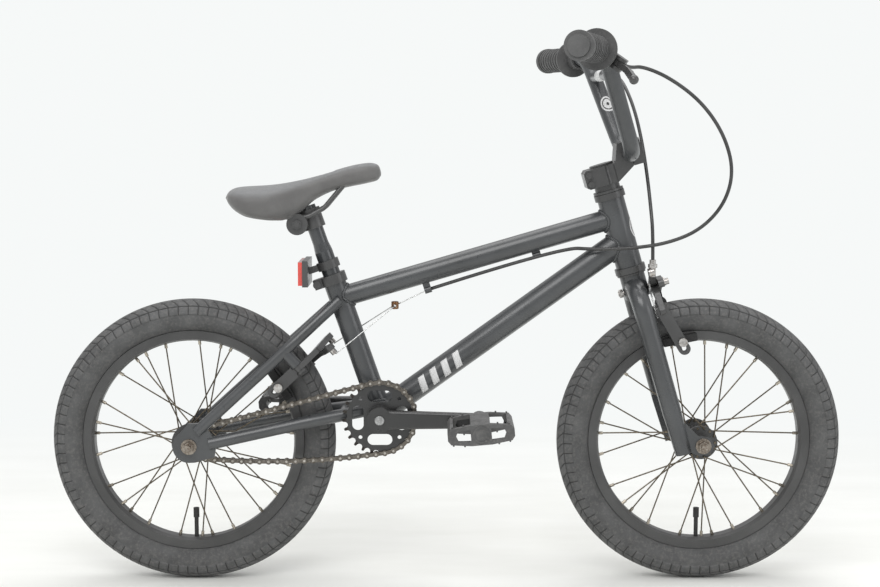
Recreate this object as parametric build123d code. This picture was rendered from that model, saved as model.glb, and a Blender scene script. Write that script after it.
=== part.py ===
"""A small-wheeled BMX bike, built piece by piece in millimetres.

+X points forward, +Y to the rider's left and +Z up. The origin is on the ground,
in the bike's middle plane, midway between the two axles.
"""
import math
import os

from build123d import *

os.makedirs("parts", exist_ok=True)

# ---------------------------------------------------------------- driving sizes
WHEELBASE = 723.6
WHEEL_R = 203.0
TYRE_HALF_WIDTH = 25.0
TYRE_WALL = 3.5
TUBE_WALL = 1.2
RIM_SEAT_R = 152.5
RIM_FLANGE_R = 158.5
RIM_INNER_R = 143.5
RIM_HALF_WIDTH = 14.0
SPOKES = 28
SPOKE_CROSSES = 2
SPOKE_R = 1.0
NIPPLE_R = 2.2
NIPPLE_LENGTH = 9.0
FLANGE_THICK = 3.0
VALVE_R = 3.0
VALVE_LENGTH = 34.0

HEAD_ANGLE = 73.7
FORK_OFFSET = 27.0
SEAT_ANGLE = 70.8
BB_HEIGHT = 241.5
BB_SHELL_R = 20.0
BB_HALF_WIDTH = 35.0
HEAD_TUBE_LOW = 268.0
HEAD_TUBE_HIGH = 368.0
HEAD_TUBE_R = 19.0
TOP_TUBE_R = 15.0
DOWN_TUBE_R = 17.5
SEAT_TUBE_R = 15.9
FRAME_WALL = 1.8
TOP_TUBE_AT_SEAT = 176.0
TOP_TUBE_AT_HEAD = 340.0
DOWN_TUBE_AT_HEAD = 306.0
SEAT_TUBE_LENGTH = 208.0
CHAIN_STAY_R = 9.0
SEAT_STAY_R = 8.0
REAR_HALF_SPACING = 55.0
FRONT_HALF_SPACING = 50.0
DROPOUT_THICK = 5.0
AXLE_R = 5.0
AXLE_END_R = 4.7

STEERER_R = 14.3
STEERER_BORE_R = 12.0
STEERER_TOP = 416.0
CROWN_R = 18.0
CROWN_LOW = 222.0
FORK_LEG_R = 13.5
FORK_LEG_TIP_R = 11.5
FORK_LEG_Y = 52.0
FORK_LEG_F = -2.5
FORK_LEG_LOW = -3.0
STEM_HALF_WIDTH = 24.0
STEM_LOW = 389.0
BAR_R = 11.1
BAR_BORE_R = 9.1
BAR_CLAMP_F = 41.0
BAR_CLAMP_S = 423.0
BAR_HALF_WIDTH = 287.0
BAR_RISE = 145.0
CROSSBAR_R = 7.6
CROSSBAR_DROP = 30.0
GRIP_R = 17.2
GRIP_FLANGE_R = 27.0
GRIP_LENGTH = 108.0

CHAIN_PITCH = 12.7
CHAIN_PITCHES = 60
CHAIN_SLACK = 0.06
RING_TEETH = 25
COG_TEETH = 9
ROLLER_R = 3.85
SEAT_CLEARANCE = 0.45
TOOTH_FLARE = 2.2
TOOTH_FLARE_REACH = 8.8
TOOTH_THICK = 2.3
TOOTH_HEIGHT = 2.4
CHAIN_LINE_Y = 44.5
CRANK_LENGTH = 140.0
CRANK_BOSS_R = 18.0
CRANK_EYE_R = 13.0
CRANK_INNER_Y = 50.5
CRANK_THICK = 15.0
CRANK_FLARE = 9.0
SPINDLE_R = 8.5
PEDAL_LENGTH = 90.0
PEDAL_WIDTH = 90.0
PEDAL_THICK = 28.0
PEDAL_GAP = 5.0
PEDAL_AXLE_R = 6.0

POST_R = 12.7
POST_TOP_R = 11.1
POST_INSERTED = 90.0
POST_TOP = 314.0
POST_TAPER_AT = 246.0
SADDLE_REAR_BEHIND = 215.2
SADDLE_LENGTH = 217.0
SADDLE_HALF_WIDTH = 66.0
SADDLE_NOSE_HALF_WIDTH = 19.0
RAIL_R = 3.5
RAIL_Y = 22.0

PAD_GAP = 2.2
PAD_THICK = 9.0
PAD_LENGTH = 48.0
PAD_HEIGHT = 11.0
PAD_R = 149.5
REAR_PIVOT_Y = 43.0
BRAKE_PIVOT_R = 5.0
ARM_THICK = 8.0
ARM_GAP = 1.0
CABLE_R = 2.5
WIRE_R = 0.8

RUN = 0.05
CLEAR = 0.4
BOLT_R = 3.0
NUT_R = 8.2

# ------------------------------------------------------------- shared geometry
RIGHT, LEFT = -1, 1
SIDES = (RIGHT, LEFT)
head = math.radians(90 - HEAD_ANGLE)
forward = Vector(math.cos(head), 0, math.sin(head))
upward = Vector(-math.sin(head), 0, math.cos(head))
rear_axle = Vector(-WHEELBASE / 2, 0, WHEEL_R)
front_axle = Vector(WHEELBASE / 2, 0, WHEEL_R)
steer = Plane(origin=front_axle - forward * FORK_OFFSET, x_dir=forward, z_dir=upward)
Y_AXIS = Vector(0, 1, 0)

ring_pitch_r = CHAIN_PITCH / 2 / math.sin(math.pi / RING_TEETH)
cog_pitch_r = CHAIN_PITCH / 2 / math.sin(math.pi / COG_TEETH)


def centre_distance():
    """Distance from the crank to the rear axle that a taut chain of this length gives."""
    pitches = CHAIN_PITCHES - CHAIN_SLACK
    low, high = 50.0, 900.0
    while high - low > 1e-6:
        middle = (low + high) / 2
        wrap = ((RING_TEETH - COG_TEETH) / 2 / math.pi) ** 2 * CHAIN_PITCH / middle
        needed = 2 * middle / CHAIN_PITCH + (RING_TEETH + COG_TEETH) / 2 + wrap
        low, high = (middle, high) if needed < pitches else (low, middle)
    return low


stay_length = centre_distance()
crank_centre = rear_axle + Vector(
    math.sqrt(stay_length**2 - (BB_HEIGHT - WHEEL_R) ** 2), 0, BB_HEIGHT - WHEEL_R
)
seat_lean = math.radians(90 - SEAT_ANGLE)
seat_up = Vector(-math.sin(seat_lean), 0, math.cos(seat_lean))
seat_back = Vector(-math.cos(seat_lean), 0, -math.sin(seat_lean))


def on_steer(f, y, s):
    """A point given forward of, beside and along the steering axis."""
    return steer.from_local_coords(Vector(f, y, s))


def on_seat(d, back=0.0, y=0.0):
    """A point given along the seat tube from the crank's centre, and behind its axis."""
    return crank_centre + seat_up * d + seat_back * back + Y_AXIS * y


def rod(start, end, radius, bore=0.0):
    """A straight round bar or tube between two points."""
    plane = Plane(origin=start, z_dir=end - start)
    length = (end - start).length
    bar = Solid.make_cylinder(radius, length, plane)
    return bar - Solid.make_cylinder(bore, length, plane) if bore else bar


def cone(start, end, radius, end_radius):
    return Solid.make_cone(radius, end_radius, (end - start).length, Plane(start, z_dir=end - start))


def ball(centre, radius):
    return Solid.make_sphere(radius, Plane(centre), angle1=-90, angle2=90)


def bent(points, radius, bends, bore=0.0):
    """A round tube along straight runs joined by tangent arcs."""
    path = FilletPolyline(*points, radius=bends)
    mouth = Plane(origin=path @ 0, z_dir=path % 0)
    section = Circle(radius) - Circle(bore) if bore else Circle(radius)
    return sweep(mouth * section, path=path)


def plate(points, thick, y):
    """A flat plate in the bike's middle plane's direction, centred on y, from (x, z) points."""
    face = make_face(Polyline(*[Vector(x, y + thick / 2, z) for x, z in points], close=True))
    return extrude(face, amount=thick, dir=Vector(0, -1, 0))


def hexagon(centre, across_r, length, direction):
    """A hexagonal prism that starts at centre and runs along direction."""
    return extrude(Plane(origin=centre, z_dir=direction) * RegularPolygon(across_r, 6), amount=length)


def fuse(pieces):
    body = pieces[0]
    for piece in pieces[1:]:
        body = body + piece
    return body


def cut(body, tools):
    for tool in tools:
        body = body - tool
    return body


def write(name, *bodies):
    """Write one sub-part; each body becomes one or more separate solids of its node."""
    solids = [solid for body in bodies for solid in body.solids()]
    export_step(Compound(children=solids), os.path.join("parts", name + ".step"))


# --------------------------------------------------------------- frame's tubes
bb_right = crank_centre - Y_AXIS * BB_HALF_WIDTH
bb_left = crank_centre + Y_AXIS * BB_HALF_WIDTH
BB_BORE_R = BB_SHELL_R - 3.0
shell_full = rod(bb_right, bb_left, BB_SHELL_R)
head_full = rod(on_steer(0, 0, HEAD_TUBE_LOW), on_steer(0, 0, HEAD_TUBE_HIGH), HEAD_TUBE_R)
seat_full = rod(crank_centre, on_seat(SEAT_TUBE_LENGTH), SEAT_TUBE_R)
top_start = on_seat(TOP_TUBE_AT_SEAT)
top_end = on_steer(0, 0, TOP_TUBE_AT_HEAD)
down_end = on_steer(0, 0, DOWN_TUBE_AT_HEAD)
top_along = (top_end - top_start).normalized()
top_below = Vector(top_along.Z, 0, -top_along.X)


def top_under(x, below):
    """A point under the top tube's axis, at a place along X."""
    share = (x - top_start.X) / (top_end.X - top_start.X)
    return top_start + (top_end - top_start) * share + top_below * below


GUIDE_X = front_axle.X - 238.8
STOP_X = crank_centre.X + 60.8
YOKE_X = STOP_X - 49.0
GUIDE_BELOW = TOP_TUBE_R + CABLE_R + 2.5
STOP_BELOW = GUIDE_BELOW + 4.5
guide_centre = top_under(GUIDE_X, GUIDE_BELOW)
stop_centre = top_under(STOP_X, STOP_BELOW)
cable_way = (guide_centre - stop_centre).normalized()
cable_below = Vector(cable_way.Z, 0, -cable_way.X)
GUIDE_HALF = 6.0
STOP_HALF = 5.0


def cable_guide(centre, half_length, radius, bore):
    """A welded eye under the top tube that holds the cable's housing."""
    ends = (centre - cable_way * half_length, centre + cable_way * half_length)
    eye = rod(*ends, radius)
    web = Plane(origin=centre, x_dir=cable_way, z_dir=cable_below) * Pos(0, 0, -1.5 * radius) * Box(
        2 * half_length, 4, 3 * radius
    )
    hole = rod(*ends, bore)
    return eye + web - hole


def frame_tubes():
    head_tube = head_full - rod(
        on_steer(0, 0, HEAD_TUBE_LOW), on_steer(0, 0, HEAD_TUBE_HIGH), HEAD_TUBE_R - 2.6
    )
    shell = shell_full - rod(bb_right, bb_left, BB_BORE_R)
    seat_tube = seat_full - rod(crank_centre, on_seat(SEAT_TUBE_LENGTH), POST_R + RUN) - shell_full
    slot_from = on_seat(SEAT_TUBE_LENGTH - 10, SEAT_TUBE_R)
    seat_tube = seat_tube - Plane(origin=slot_from, x_dir=seat_back, z_dir=seat_up) * Box(12, 2, 20)
    top_full = rod(top_start, top_end, TOP_TUBE_R)
    top_tube = top_full - rod(top_start, top_end, TOP_TUBE_R - FRAME_WALL) - head_full - seat_full
    down_tube = rod(crank_centre, down_end, DOWN_TUBE_R) - rod(
        crank_centre, down_end, DOWN_TUBE_R - FRAME_WALL
    )
    down_tube = down_tube - head_full - shell_full - seat_full
    guide = cable_guide(guide_centre, GUIDE_HALF, CABLE_R + 2.0, CABLE_R) - top_full
    stop = cable_guide(stop_centre, STOP_HALF, CABLE_R + 2.5, CABLE_R - 0.5) - top_full
    stop = stop - rod(stop_centre, stop_centre + cable_way * STOP_HALF, CABLE_R)
    write("head_tube", head_tube)
    write("bottom_bracket_shell", shell)
    write("seat_tube", seat_tube)
    write("top_tube", top_tube, guide, stop)
    write("down_tube", down_tube)


# ------------------------------------------------------------- rear end of frame
STAY_JOIN_Y = 24.0
CHAIN_STAY_BEND_X = rear_axle.X + 166.8
SEAT_STAY_BEND_X = rear_axle.X + 143.8
SEAT_STAY_TOP_Y = 21.0
seat_stay_top = on_seat(SEAT_TUBE_LENGTH - 34.0)
dropout_y = REAR_HALF_SPACING + DROPOUT_THICK / 2
chain_stay_end = rear_axle + Vector(28, 0, 4)
chain_stay_start = crank_centre + Vector(-8, 0, 9)
seat_stay_end = rear_axle + Vector(11, 0, 21)


def along_x(start, end, x):
    return start + (end - start) * ((x - start.X) / (end.X - start.X))


def stay_paths(side):
    bend = along_x(chain_stay_start, chain_stay_end, CHAIN_STAY_BEND_X) + Vector(0, 0, 2)
    chain_path = [
        chain_stay_end + Y_AXIS * side * dropout_y,
        bend + Y_AXIS * side * (TYRE_HALF_WIDTH + CHAIN_STAY_R + 7),
        chain_stay_start + Y_AXIS * side * (STAY_JOIN_Y - 3),
    ]
    bend = along_x(seat_stay_top, seat_stay_end, SEAT_STAY_BEND_X)
    seat_path = [
        seat_stay_end + Y_AXIS * side * (dropout_y + 2),
        bend + Y_AXIS * side * (TYRE_HALF_WIDTH + SEAT_STAY_R + 9),
        seat_stay_top + Y_AXIS * side * SEAT_STAY_TOP_Y,
    ]
    return chain_path, seat_path


def dropout(side):
    """The flat plate that holds the rear axle, with the adjusting slot along its middle."""
    x, z = rear_axle.X, rear_axle.Z
    outline = [(-20, 12), (0, 33), (20, 33), (32, 16), (38, 0), (36, -15), (16, -20), (0, -21)]
    body = plate([(x + dx, z + dz) for dx, dz in outline], DROPOUT_THICK, side * dropout_y)
    ends = [rear_axle + Y_AXIS * (side * dropout_y + d) for d in (-DROPOUT_THICK / 2, DROPOUT_THICK / 2)]
    body = body + rod(ends[0], ends[1], 23)
    slot = [rod(ends[0] + Vector(d, 0, 0), ends[1] + Vector(d, 0, 0), AXLE_R + 0.1) for d in (0, 4)]
    return cut(body, slot)


# The rear brake lies in front of the seat stays, in a frame of its own: n points away
# from the stays, y to the left and e up along them.
stay_up = (seat_stay_top - seat_stay_end).normalized()
stay_out = Vector(stay_up.Z, 0, -stay_up.X)
rear_line_n = (seat_stay_end - rear_axle).dot(stay_out)
REAR_ARM_N = 27.0
REAR_PIVOT_UP = 40.0
rear_pad_n = rear_line_n + REAR_ARM_N + 5.0
rear_pad_e = math.sqrt(PAD_R**2 - rear_pad_n**2)
rear_pivot_e = rear_pad_e + REAR_PIVOT_UP
rear_brake = Plane(
    origin=rear_axle + stay_out * rear_line_n + stay_up * rear_pivot_e, x_dir=stay_out, z_dir=stay_up
)


def on_rear_brake(n, y, e):
    """A point given out from the seat stays' line, beside the wheel and up from the pivots."""
    return rear_brake.from_local_coords(Vector(n, y, e))


REAR_BOSS_R = 8.0


def rear_arm_low(side):
    """How far out from the stays' line an arm starts; the left arm crosses outside the right."""
    return REAR_ARM_N if side == RIGHT else REAR_ARM_N + ARM_THICK + ARM_GAP


def rear_end():
    chain_stays, seat_stays, dropouts = [], [], []
    for side in SIDES:
        chain_path, seat_path = stay_paths(side)
        drop = dropout(side)
        chain_stay = bent(chain_path, CHAIN_STAY_R, 90)
        seat_stay = bent(seat_path, SEAT_STAY_R, 120)
        boss_foot = on_rear_brake(0, side * REAR_PIVOT_Y, 0)
        boss = rod(boss_foot, on_rear_brake(rear_arm_low(side) - CLEAR, side * REAR_PIVOT_Y, 0), REAR_BOSS_R)
        pivot_y = side * REAR_PIVOT_Y
        hole = rod(on_rear_brake(2, pivot_y, 0), on_rear_brake(60, pivot_y, 0), BRAKE_PIVOT_R)
        chain_stays.append(cut(chain_stay, [drop, shell_full, seat_full]))
        seat_stays.append(cut(seat_stay + boss, [drop, chain_stay, seat_full, hole]))
        dropouts.append(drop)
    write("rear_dropouts", *dropouts)
    seat_bridge_at = along_x(seat_stay_top, seat_stay_end, -192.0)
    bridge = rod(seat_bridge_at - Y_AXIS * 40, seat_bridge_at + Y_AXIS * 40, 6)
    bridge = cut(bridge, [bent(stay_paths(side)[1], SEAT_STAY_R, 120) for side in SIDES])
    bridge = max(bridge.solids(), key=lambda s: -abs(s.center().Y))
    write("seat_stays", *seat_stays, bridge)
    stay_bridge_at = along_x(chain_stay_start, chain_stay_end, -148.0) + Vector(0, 0, 1)
    bridge = rod(stay_bridge_at - Y_AXIS * 30, stay_bridge_at + Y_AXIS * 30, 5)
    bridge = cut(bridge, [bent(stay_paths(side)[0], CHAIN_STAY_R, 90) for side in SIDES])
    bridge = max(bridge.solids(), key=lambda s: -abs(s.center().Y))
    write("chain_stays", *chain_stays, bridge)


# ------------------------------------------------------------------- bearings
CUP_HEIGHT = 9.0
BALL_R = 2.4


def ring_solid(plane, outer, inner, low, high):
    """A plain ring about a plane's normal, between two heights along it."""
    base = Plane(origin=plane.from_local_coords(Vector(0, 0, low)), z_dir=plane.z_dir)
    return Solid.make_cylinder(outer, high - low, base) - Solid.make_cylinder(inner, high - low, base)


def ball_ring(plane, pitch_r, height, count, radius):
    balls = []
    for k in range(count):
        angle = 2 * math.pi * k / count
        spot = Vector(pitch_r * math.cos(angle), pitch_r * math.sin(angle), height)
        balls.append(ball(plane.from_local_coords(spot), radius))
    return balls


crank_plane = Plane(origin=crank_centre, x_dir=Vector(1, 0, 0), z_dir=Vector(0, -1, 0))
HEADSET_BALL_PITCH = STEERER_R + 3.8
RACE_R = STEERER_R + 1.2


def bearings():
    upper = ring_solid(steer, 22.0, RACE_R + 5.6, HEAD_TUBE_HIGH, HEAD_TUBE_HIGH + CUP_HEIGHT)
    lower = ring_solid(steer, 22.0, RACE_R + 5.6, HEAD_TUBE_LOW - CUP_HEIGHT, HEAD_TUBE_LOW)
    floor_up = ring_solid(steer, 22.0, STEERER_R + 0.6, HEAD_TUBE_HIGH, HEAD_TUBE_HIGH + 2)
    floor_low = ring_solid(steer, 22.0, STEERER_R + 0.6, HEAD_TUBE_LOW - 2, HEAD_TUBE_LOW)
    cups = [upper + floor_up, lower + floor_low]
    balls = ball_ring(steer, HEADSET_BALL_PITCH, HEAD_TUBE_HIGH + 2 + BALL_R, 16, BALL_R)
    balls += ball_ring(steer, HEADSET_BALL_PITCH, HEAD_TUBE_LOW - 2 - BALL_R, 16, BALL_R)
    for side in SIDES:
        face = BB_HALF_WIDTH
        plane = Plane(origin=crank_centre, x_dir=Vector(1, 0, 0), z_dir=Vector(0, side, 0))
        cup = ring_solid(plane, BB_BORE_R, SPINDLE_R + RUN, face - 6, face)
        cup = cup + ring_solid(plane, BB_SHELL_R - 1, SPINDLE_R + RUN, face, face + 2.5)
        cup = cup + ring_solid(plane, BB_BORE_R, BB_BORE_R - 2, face - 14, face - 6)
        cups.append(cup)
        balls += ball_ring(plane, SPINDLE_R + 3.25, face - 6 - 3.2, 9, 3.15)
    write("bearing_cups", *cups)
    write("bearing_balls", *balls)


# ------------------------------------------------------------------ axles, hubs
HUB_BARREL_R = 13.0
CONE_R = 8.5


def axle_set(centre, half_spacing, cone_in, stub):
    """A threaded axle with its two cones, and the nuts and washers outside the dropouts."""
    reach = half_spacing + DROPOUT_THICK
    thread = reach + 2 + 8
    end = thread + stub
    axle = rod(centre - Y_AXIS * thread, centre + Y_AXIS * thread, AXLE_R)
    axle = axle + rod(centre - Y_AXIS * end, centre + Y_AXIS * end, AXLE_END_R)
    pieces, nuts = [axle], []
    for side in SIDES:
        out = Y_AXIS * side
        cone_piece = rod(centre + out * cone_in, centre + out * half_spacing, CONE_R, AXLE_R)
        pieces.append(cone_piece)
        washer = rod(centre + out * reach, centre + out * (reach + 2), 11, AXLE_R)
        nut = hexagon(centre + out * (reach + 2), NUT_R, 8, out) - rod(
            centre + out * (reach + 2), centre + out * (reach + 10), AXLE_R
        )
        nuts += [washer, nut]
    return pieces, nuts


def hub(centre, right_y, left_y, flange_r, guard_r, cone_in):
    """Barrel and two flanges in one shell, drilled for spokes, running on the axle's cones."""
    axis = Y_AXIS
    body = rod(centre - axis * right_y, centre + axis * left_y, HUB_BARREL_R)
    for y in (-right_y, left_y - FLANGE_THICK):
        body = body + rod(centre + axis * y, centre + axis * (y + FLANGE_THICK), flange_r)
    if guard_r:
        body = body + rod(centre - axis * (right_y + 6), centre - axis * right_y, HUB_BARREL_R)
        body = body + rod(centre - axis * (right_y + 6), centre - axis * (right_y + 4), guard_r)
    right_end = right_y + 6 if guard_r else right_y
    body = body - rod(centre - axis * right_end, centre + axis * left_y, AXLE_R + RUN)
    for start, end in ((-right_end, -cone_in + 0.5), (cone_in - 0.5, left_y)):
        if end > start:
            body = body - rod(centre + axis * start, centre + axis * end, CONE_R + CLEAR)
    for hole in spoke_ends(centre, right_y, left_y, flange_r - 3.5):
        body = body - rod(hole[0] - Y_AXIS * 4, hole[0] + Y_AXIS * 4, SPOKE_R + 0.25)
    return body


def spoke_ends(centre, right_y, left_y, circle_r):
    """Flange hole, elbow and rim point of every spoke, crossed tangentially."""
    ends = []
    per_side = SPOKES // 2
    step = 2 * math.pi / per_side
    for side in SIDES:
        middle = (right_y if side == RIGHT else left_y) - FLANGE_THICK / 2
        for k in range(per_side):
            lead = 1 if k % 2 else -1
            turn = step * k + (step / 2 if side == LEFT else 0)
            rim_turn = turn + lead * SPOKE_CROSSES * step * 0.93
            hole = centre + Vector(circle_r * math.cos(turn), side * middle, circle_r * math.sin(turn))
            outside = FLANGE_THICK / 2 + SPOKE_R + 1.6
            elbow = hole + Y_AXIS * side * lead * outside
            rim_r = RIM_INNER_R - NIPPLE_LENGTH + 2.5
            rim = centre + Vector(rim_r * math.cos(rim_turn), side * 2.5, rim_r * math.sin(rim_turn))
            ends.append((hole, elbow, rim, side * lead))
    return ends


def spokes(centre, right_y, left_y, flange_r):
    """Every spoke with its elbow and head, and its nipple at the rim."""
    solids = []
    for hole, elbow, rim, out in spoke_ends(centre, right_y, left_y, flange_r - 3.5):
        far = hole - Y_AXIS * out * (FLANGE_THICK / 2 + 0.9)
        wire = rod(elbow, rim, SPOKE_R) + rod(far, elbow, SPOKE_R) + ball(elbow, SPOKE_R)
        wire = wire + rod(far, far - Y_AXIS * out * 0.1 + Y_AXIS * out * 0.8, SPOKE_R + 0.8)
        solids.append(wire)
        along = (rim - elbow).normalized()
        solids.append(rod(rim, rim + along * NIPPLE_LENGTH, NIPPLE_R))
    return solids


def wheel_rings(centre, nipples):
    """Tyre, inner tube with its valve, and the hollow rim."""
    mid_r = WHEEL_R - TYRE_HALF_WIDTH
    side_plane = Plane(origin=centre, x_dir=Vector(0, 1, 0), z_dir=Vector(1, 0, 0))
    axis = Axis(centre, Y_AXIS)
    inner_r = TYRE_HALF_WIDTH - TYRE_WALL
    profile = side_plane * (Pos(0, mid_r) * Circle(TYRE_HALF_WIDTH))
    hollow = side_plane * (Pos(0, mid_r) * Circle(inner_r))
    bead = side_plane * (Pos(0, RIM_SEAT_R / 2 + 0.5) * Rectangle(4 * TYRE_HALF_WIDTH, RIM_SEAT_R + 1))
    mouth = side_plane * (Pos(0, RIM_FLANGE_R) * Rectangle(2 * RIM_HALF_WIDTH - 8, 30))
    flange_gap = side_plane * (
        Pos(0, RIM_SEAT_R / 2 + 4) * Rectangle(2 * RIM_HALF_WIDTH + 0.6, RIM_SEAT_R + 12)
    )
    seat_gap = side_plane * (Pos(0, RIM_SEAT_R) * Rectangle(2 * RIM_HALF_WIDTH - 4, 30))
    tyre_face = profile - hollow - bead - mouth - (flange_gap - seat_gap)
    tyre = max(revolve(tyre_face, axis, 360).solids(), key=lambda s: s.volume)
    tube_r = inner_r - 0.4
    tube_face = side_plane * (Pos(0, mid_r) * (Circle(tube_r) - Circle(tube_r - TUBE_WALL)))
    tube = revolve(tube_face, axis, 360)
    w = RIM_HALF_WIDTH
    outline = [
        (-w, RIM_FLANGE_R), (-w, RIM_INNER_R + 3), (-w + 6, RIM_INNER_R), (w - 6, RIM_INNER_R),
        (w, RIM_INNER_R + 3), (w, RIM_FLANGE_R), (w - 2, RIM_FLANGE_R), (w - 2, RIM_SEAT_R),
        (w - 6, RIM_SEAT_R), (w - 8, RIM_SEAT_R - 2.5), (-w + 8, RIM_SEAT_R - 2.5),
        (-w + 6, RIM_SEAT_R), (-w + 2, RIM_SEAT_R), (-w + 2, RIM_FLANGE_R),
    ]
    cavity = [
        (-w + 2, RIM_INNER_R + 4), (-w + 7, RIM_INNER_R + 1.8), (w - 7, RIM_INNER_R + 1.8),
        (w - 2, RIM_INNER_R + 4), (w - 2, RIM_SEAT_R - 2), (w - 6, RIM_SEAT_R - 2),
        (w - 8, RIM_SEAT_R - 4.3), (-w + 8, RIM_SEAT_R - 4.3), (-w + 6, RIM_SEAT_R - 2),
        (-w + 2, RIM_SEAT_R - 2),
    ]
    faces = [
        make_face(Polyline(*[side_plane.from_local_coords(Vector(y, r, 0)) for y, r in points], close=True))
        for points in (outline, cavity)
    ]
    rim = revolve(faces[0], axis, 360) - revolve(faces[1], axis, 360)
    down = Vector(0, 0, -1)
    valve_top = centre + down * (mid_r - tube_r + TUBE_WALL / 2)
    valve_end = centre + down * (RIM_INNER_R - VALVE_LENGTH)
    rim = rim - rod(valve_top, valve_end, VALVE_R + 0.2)
    for spot, along in nipples:
        rim = rim - rod(spot - along * 5, spot + along * 12, NIPPLE_R + 0.15)
    valve = rod(valve_top, valve_end, VALVE_R)
    cap = rod(valve_end + down * 6, valve_end - down * 8, VALVE_R + 1.2)
    tube = tube + valve
    return tyre, rim, [max(tube.solids(), key=lambda s: s.volume), cap - valve]


HUBS = {
    "front": (front_axle, FRONT_HALF_SPACING, 30.0, 30.0, 24.0, 0.0),
    "rear": (rear_axle, REAR_HALF_SPACING, 28.0, 33.0, 24.0, 28.5),
}
AXLE_STUB = 5.0


def wheels():
    for name, (centre, half_spacing, right_y, left_y, flange_r, guard_r) in HUBS.items():
        cone_in = right_y + (7 if guard_r else 0) - 5
        axle, nuts = axle_set(centre, half_spacing, cone_in, AXLE_STUB)
        write(name + "_axle", *axle)
        write(name + "_axle_nuts", *nuts)
        write(name + "_hub", hub(centre, right_y, left_y, flange_r, guard_r, cone_in))
        write(name + "_spokes", *spokes(centre, right_y, left_y, flange_r))
        nipples = [
            (rim, (rim - elbow).normalized())
            for _, elbow, rim, _ in spoke_ends(centre, right_y, left_y, flange_r - 3.5)
        ]
        tyre, rim, tube = wheel_rings(centre, nipples)
        write(name + "_tyre", tyre)
        write(name + "_rim", rim)
        write(name + "_inner_tube", *tube)


# ------------------------------------------------------------ chain and sprockets
def on_circle(centre, radius, angle):
    return Vector(centre.X + radius * math.cos(angle), 0, centre.Z + radius * math.sin(angle))


def chain_points():
    """Pin centres of a chain round both sprockets: taut on top, slack below, in (x, z)."""
    big, small = crank_centre, rear_axle
    between = big - small
    lean = math.atan2(between.Z, between.X)
    spread = math.asin((ring_pitch_r - cog_pitch_r) / stay_length)
    top_angle = lean + math.pi / 2 + spread
    ring_step = 2 * math.pi / RING_TEETH
    cog_step = 2 * math.pi / COG_TEETH
    top_tangent = on_circle(big, ring_pitch_r, top_angle)
    run = Vector(math.cos(top_angle + math.pi / 2), 0, math.sin(top_angle + math.pi / 2))
    cog_tangent = on_circle(small, cog_pitch_r, top_angle)
    run_length = (cog_tangent - top_tangent).length
    links = int(run_length // CHAIN_PITCH)
    upper = [top_tangent + run * CHAIN_PITCH * k for k in range(links + 1)]
    last = upper[-1]
    cog_turn = entry_angle(last, small, cog_pitch_r, top_angle)
    bottom_angle = lean - math.pi / 2 - spread
    cog_pins = []
    turn = cog_turn
    while turn <= bottom_angle + 2 * math.pi + 1e-6:
        cog_pins.append(on_circle(small, cog_pitch_r, turn))
        turn += cog_step
    ring_pins = []
    turn = top_angle - ring_step
    while turn >= bottom_angle - 1e-6:
        ring_pins.append(on_circle(big, ring_pitch_r, turn))
        turn -= ring_step
    start, end = cog_pins[-1], ring_pins[-1]
    left_over = CHAIN_PITCHES - (len(upper) + len(cog_pins) + len(ring_pins)) + 1
    lower = slack_run(start, end, left_over)
    return upper + cog_pins + lower + ring_pins[::-1], cog_turn, top_angle


def entry_angle(point, centre, radius, start):
    """Where the next pin lands on the small sprocket, one pitch on from the last free pin."""
    low, high = start, start + math.pi / 2
    while high - low > 1e-9:
        middle = (low + high) / 2
        spot = on_circle(centre, radius, middle)
        low, high = (middle, high) if (spot - point).length < CHAIN_PITCH else (low, middle)
    return low


def slack_run(start, end, count):
    """Pins strictly between two points, hanging in a shallow arc of count equal links."""
    span = (end - start).length
    ratio = span / CHAIN_PITCH
    low, high = 1e-6, math.pi / count
    while high - low > 1e-12:
        middle = (low + high) / 2
        low, high = (middle, high) if math.sin(count * middle) / math.sin(middle) > ratio else (low, middle)
    half = low
    radius = CHAIN_PITCH / 2 / math.sin(half)
    along = (end - start).normalized()
    below = Vector(along.Z, 0, -along.X)
    drop = radius * math.cos(count * half)
    centre = (start + end) * 0.5 - below * drop
    pins = []
    for k in range(1, count):
        angle = -count * half + 2 * half * k
        pins.append(centre + along * radius * math.sin(angle) + below * radius * math.cos(angle))
    return pins


PLATE_THICK = 1.0
INNER_PLATE_Y = 1.75
OUTER_PLATE_Y = 2.9
PLATE_END_R = 4.1
PLATE_WAIST = 5.4


def link_plate(start, end, y_in):
    """One chain side plate: two round ends joined by a narrower waist."""
    low = Y_AXIS * (-CHAIN_LINE_Y + y_in)
    high = Y_AXIS * (-CHAIN_LINE_Y + y_in + PLATE_THICK)
    ends = rod(start + low, start + high, PLATE_END_R) + rod(end + low, end + high, PLATE_END_R)
    middle = (start + end) * 0.5 + Y_AXIS * (-CHAIN_LINE_Y + y_in + PLATE_THICK / 2)
    waist = Plane(origin=middle, x_dir=end - start, z_dir=Y_AXIS) * Box(
        (end - start).length, PLATE_WAIST, PLATE_THICK
    )
    return ends + waist


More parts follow.
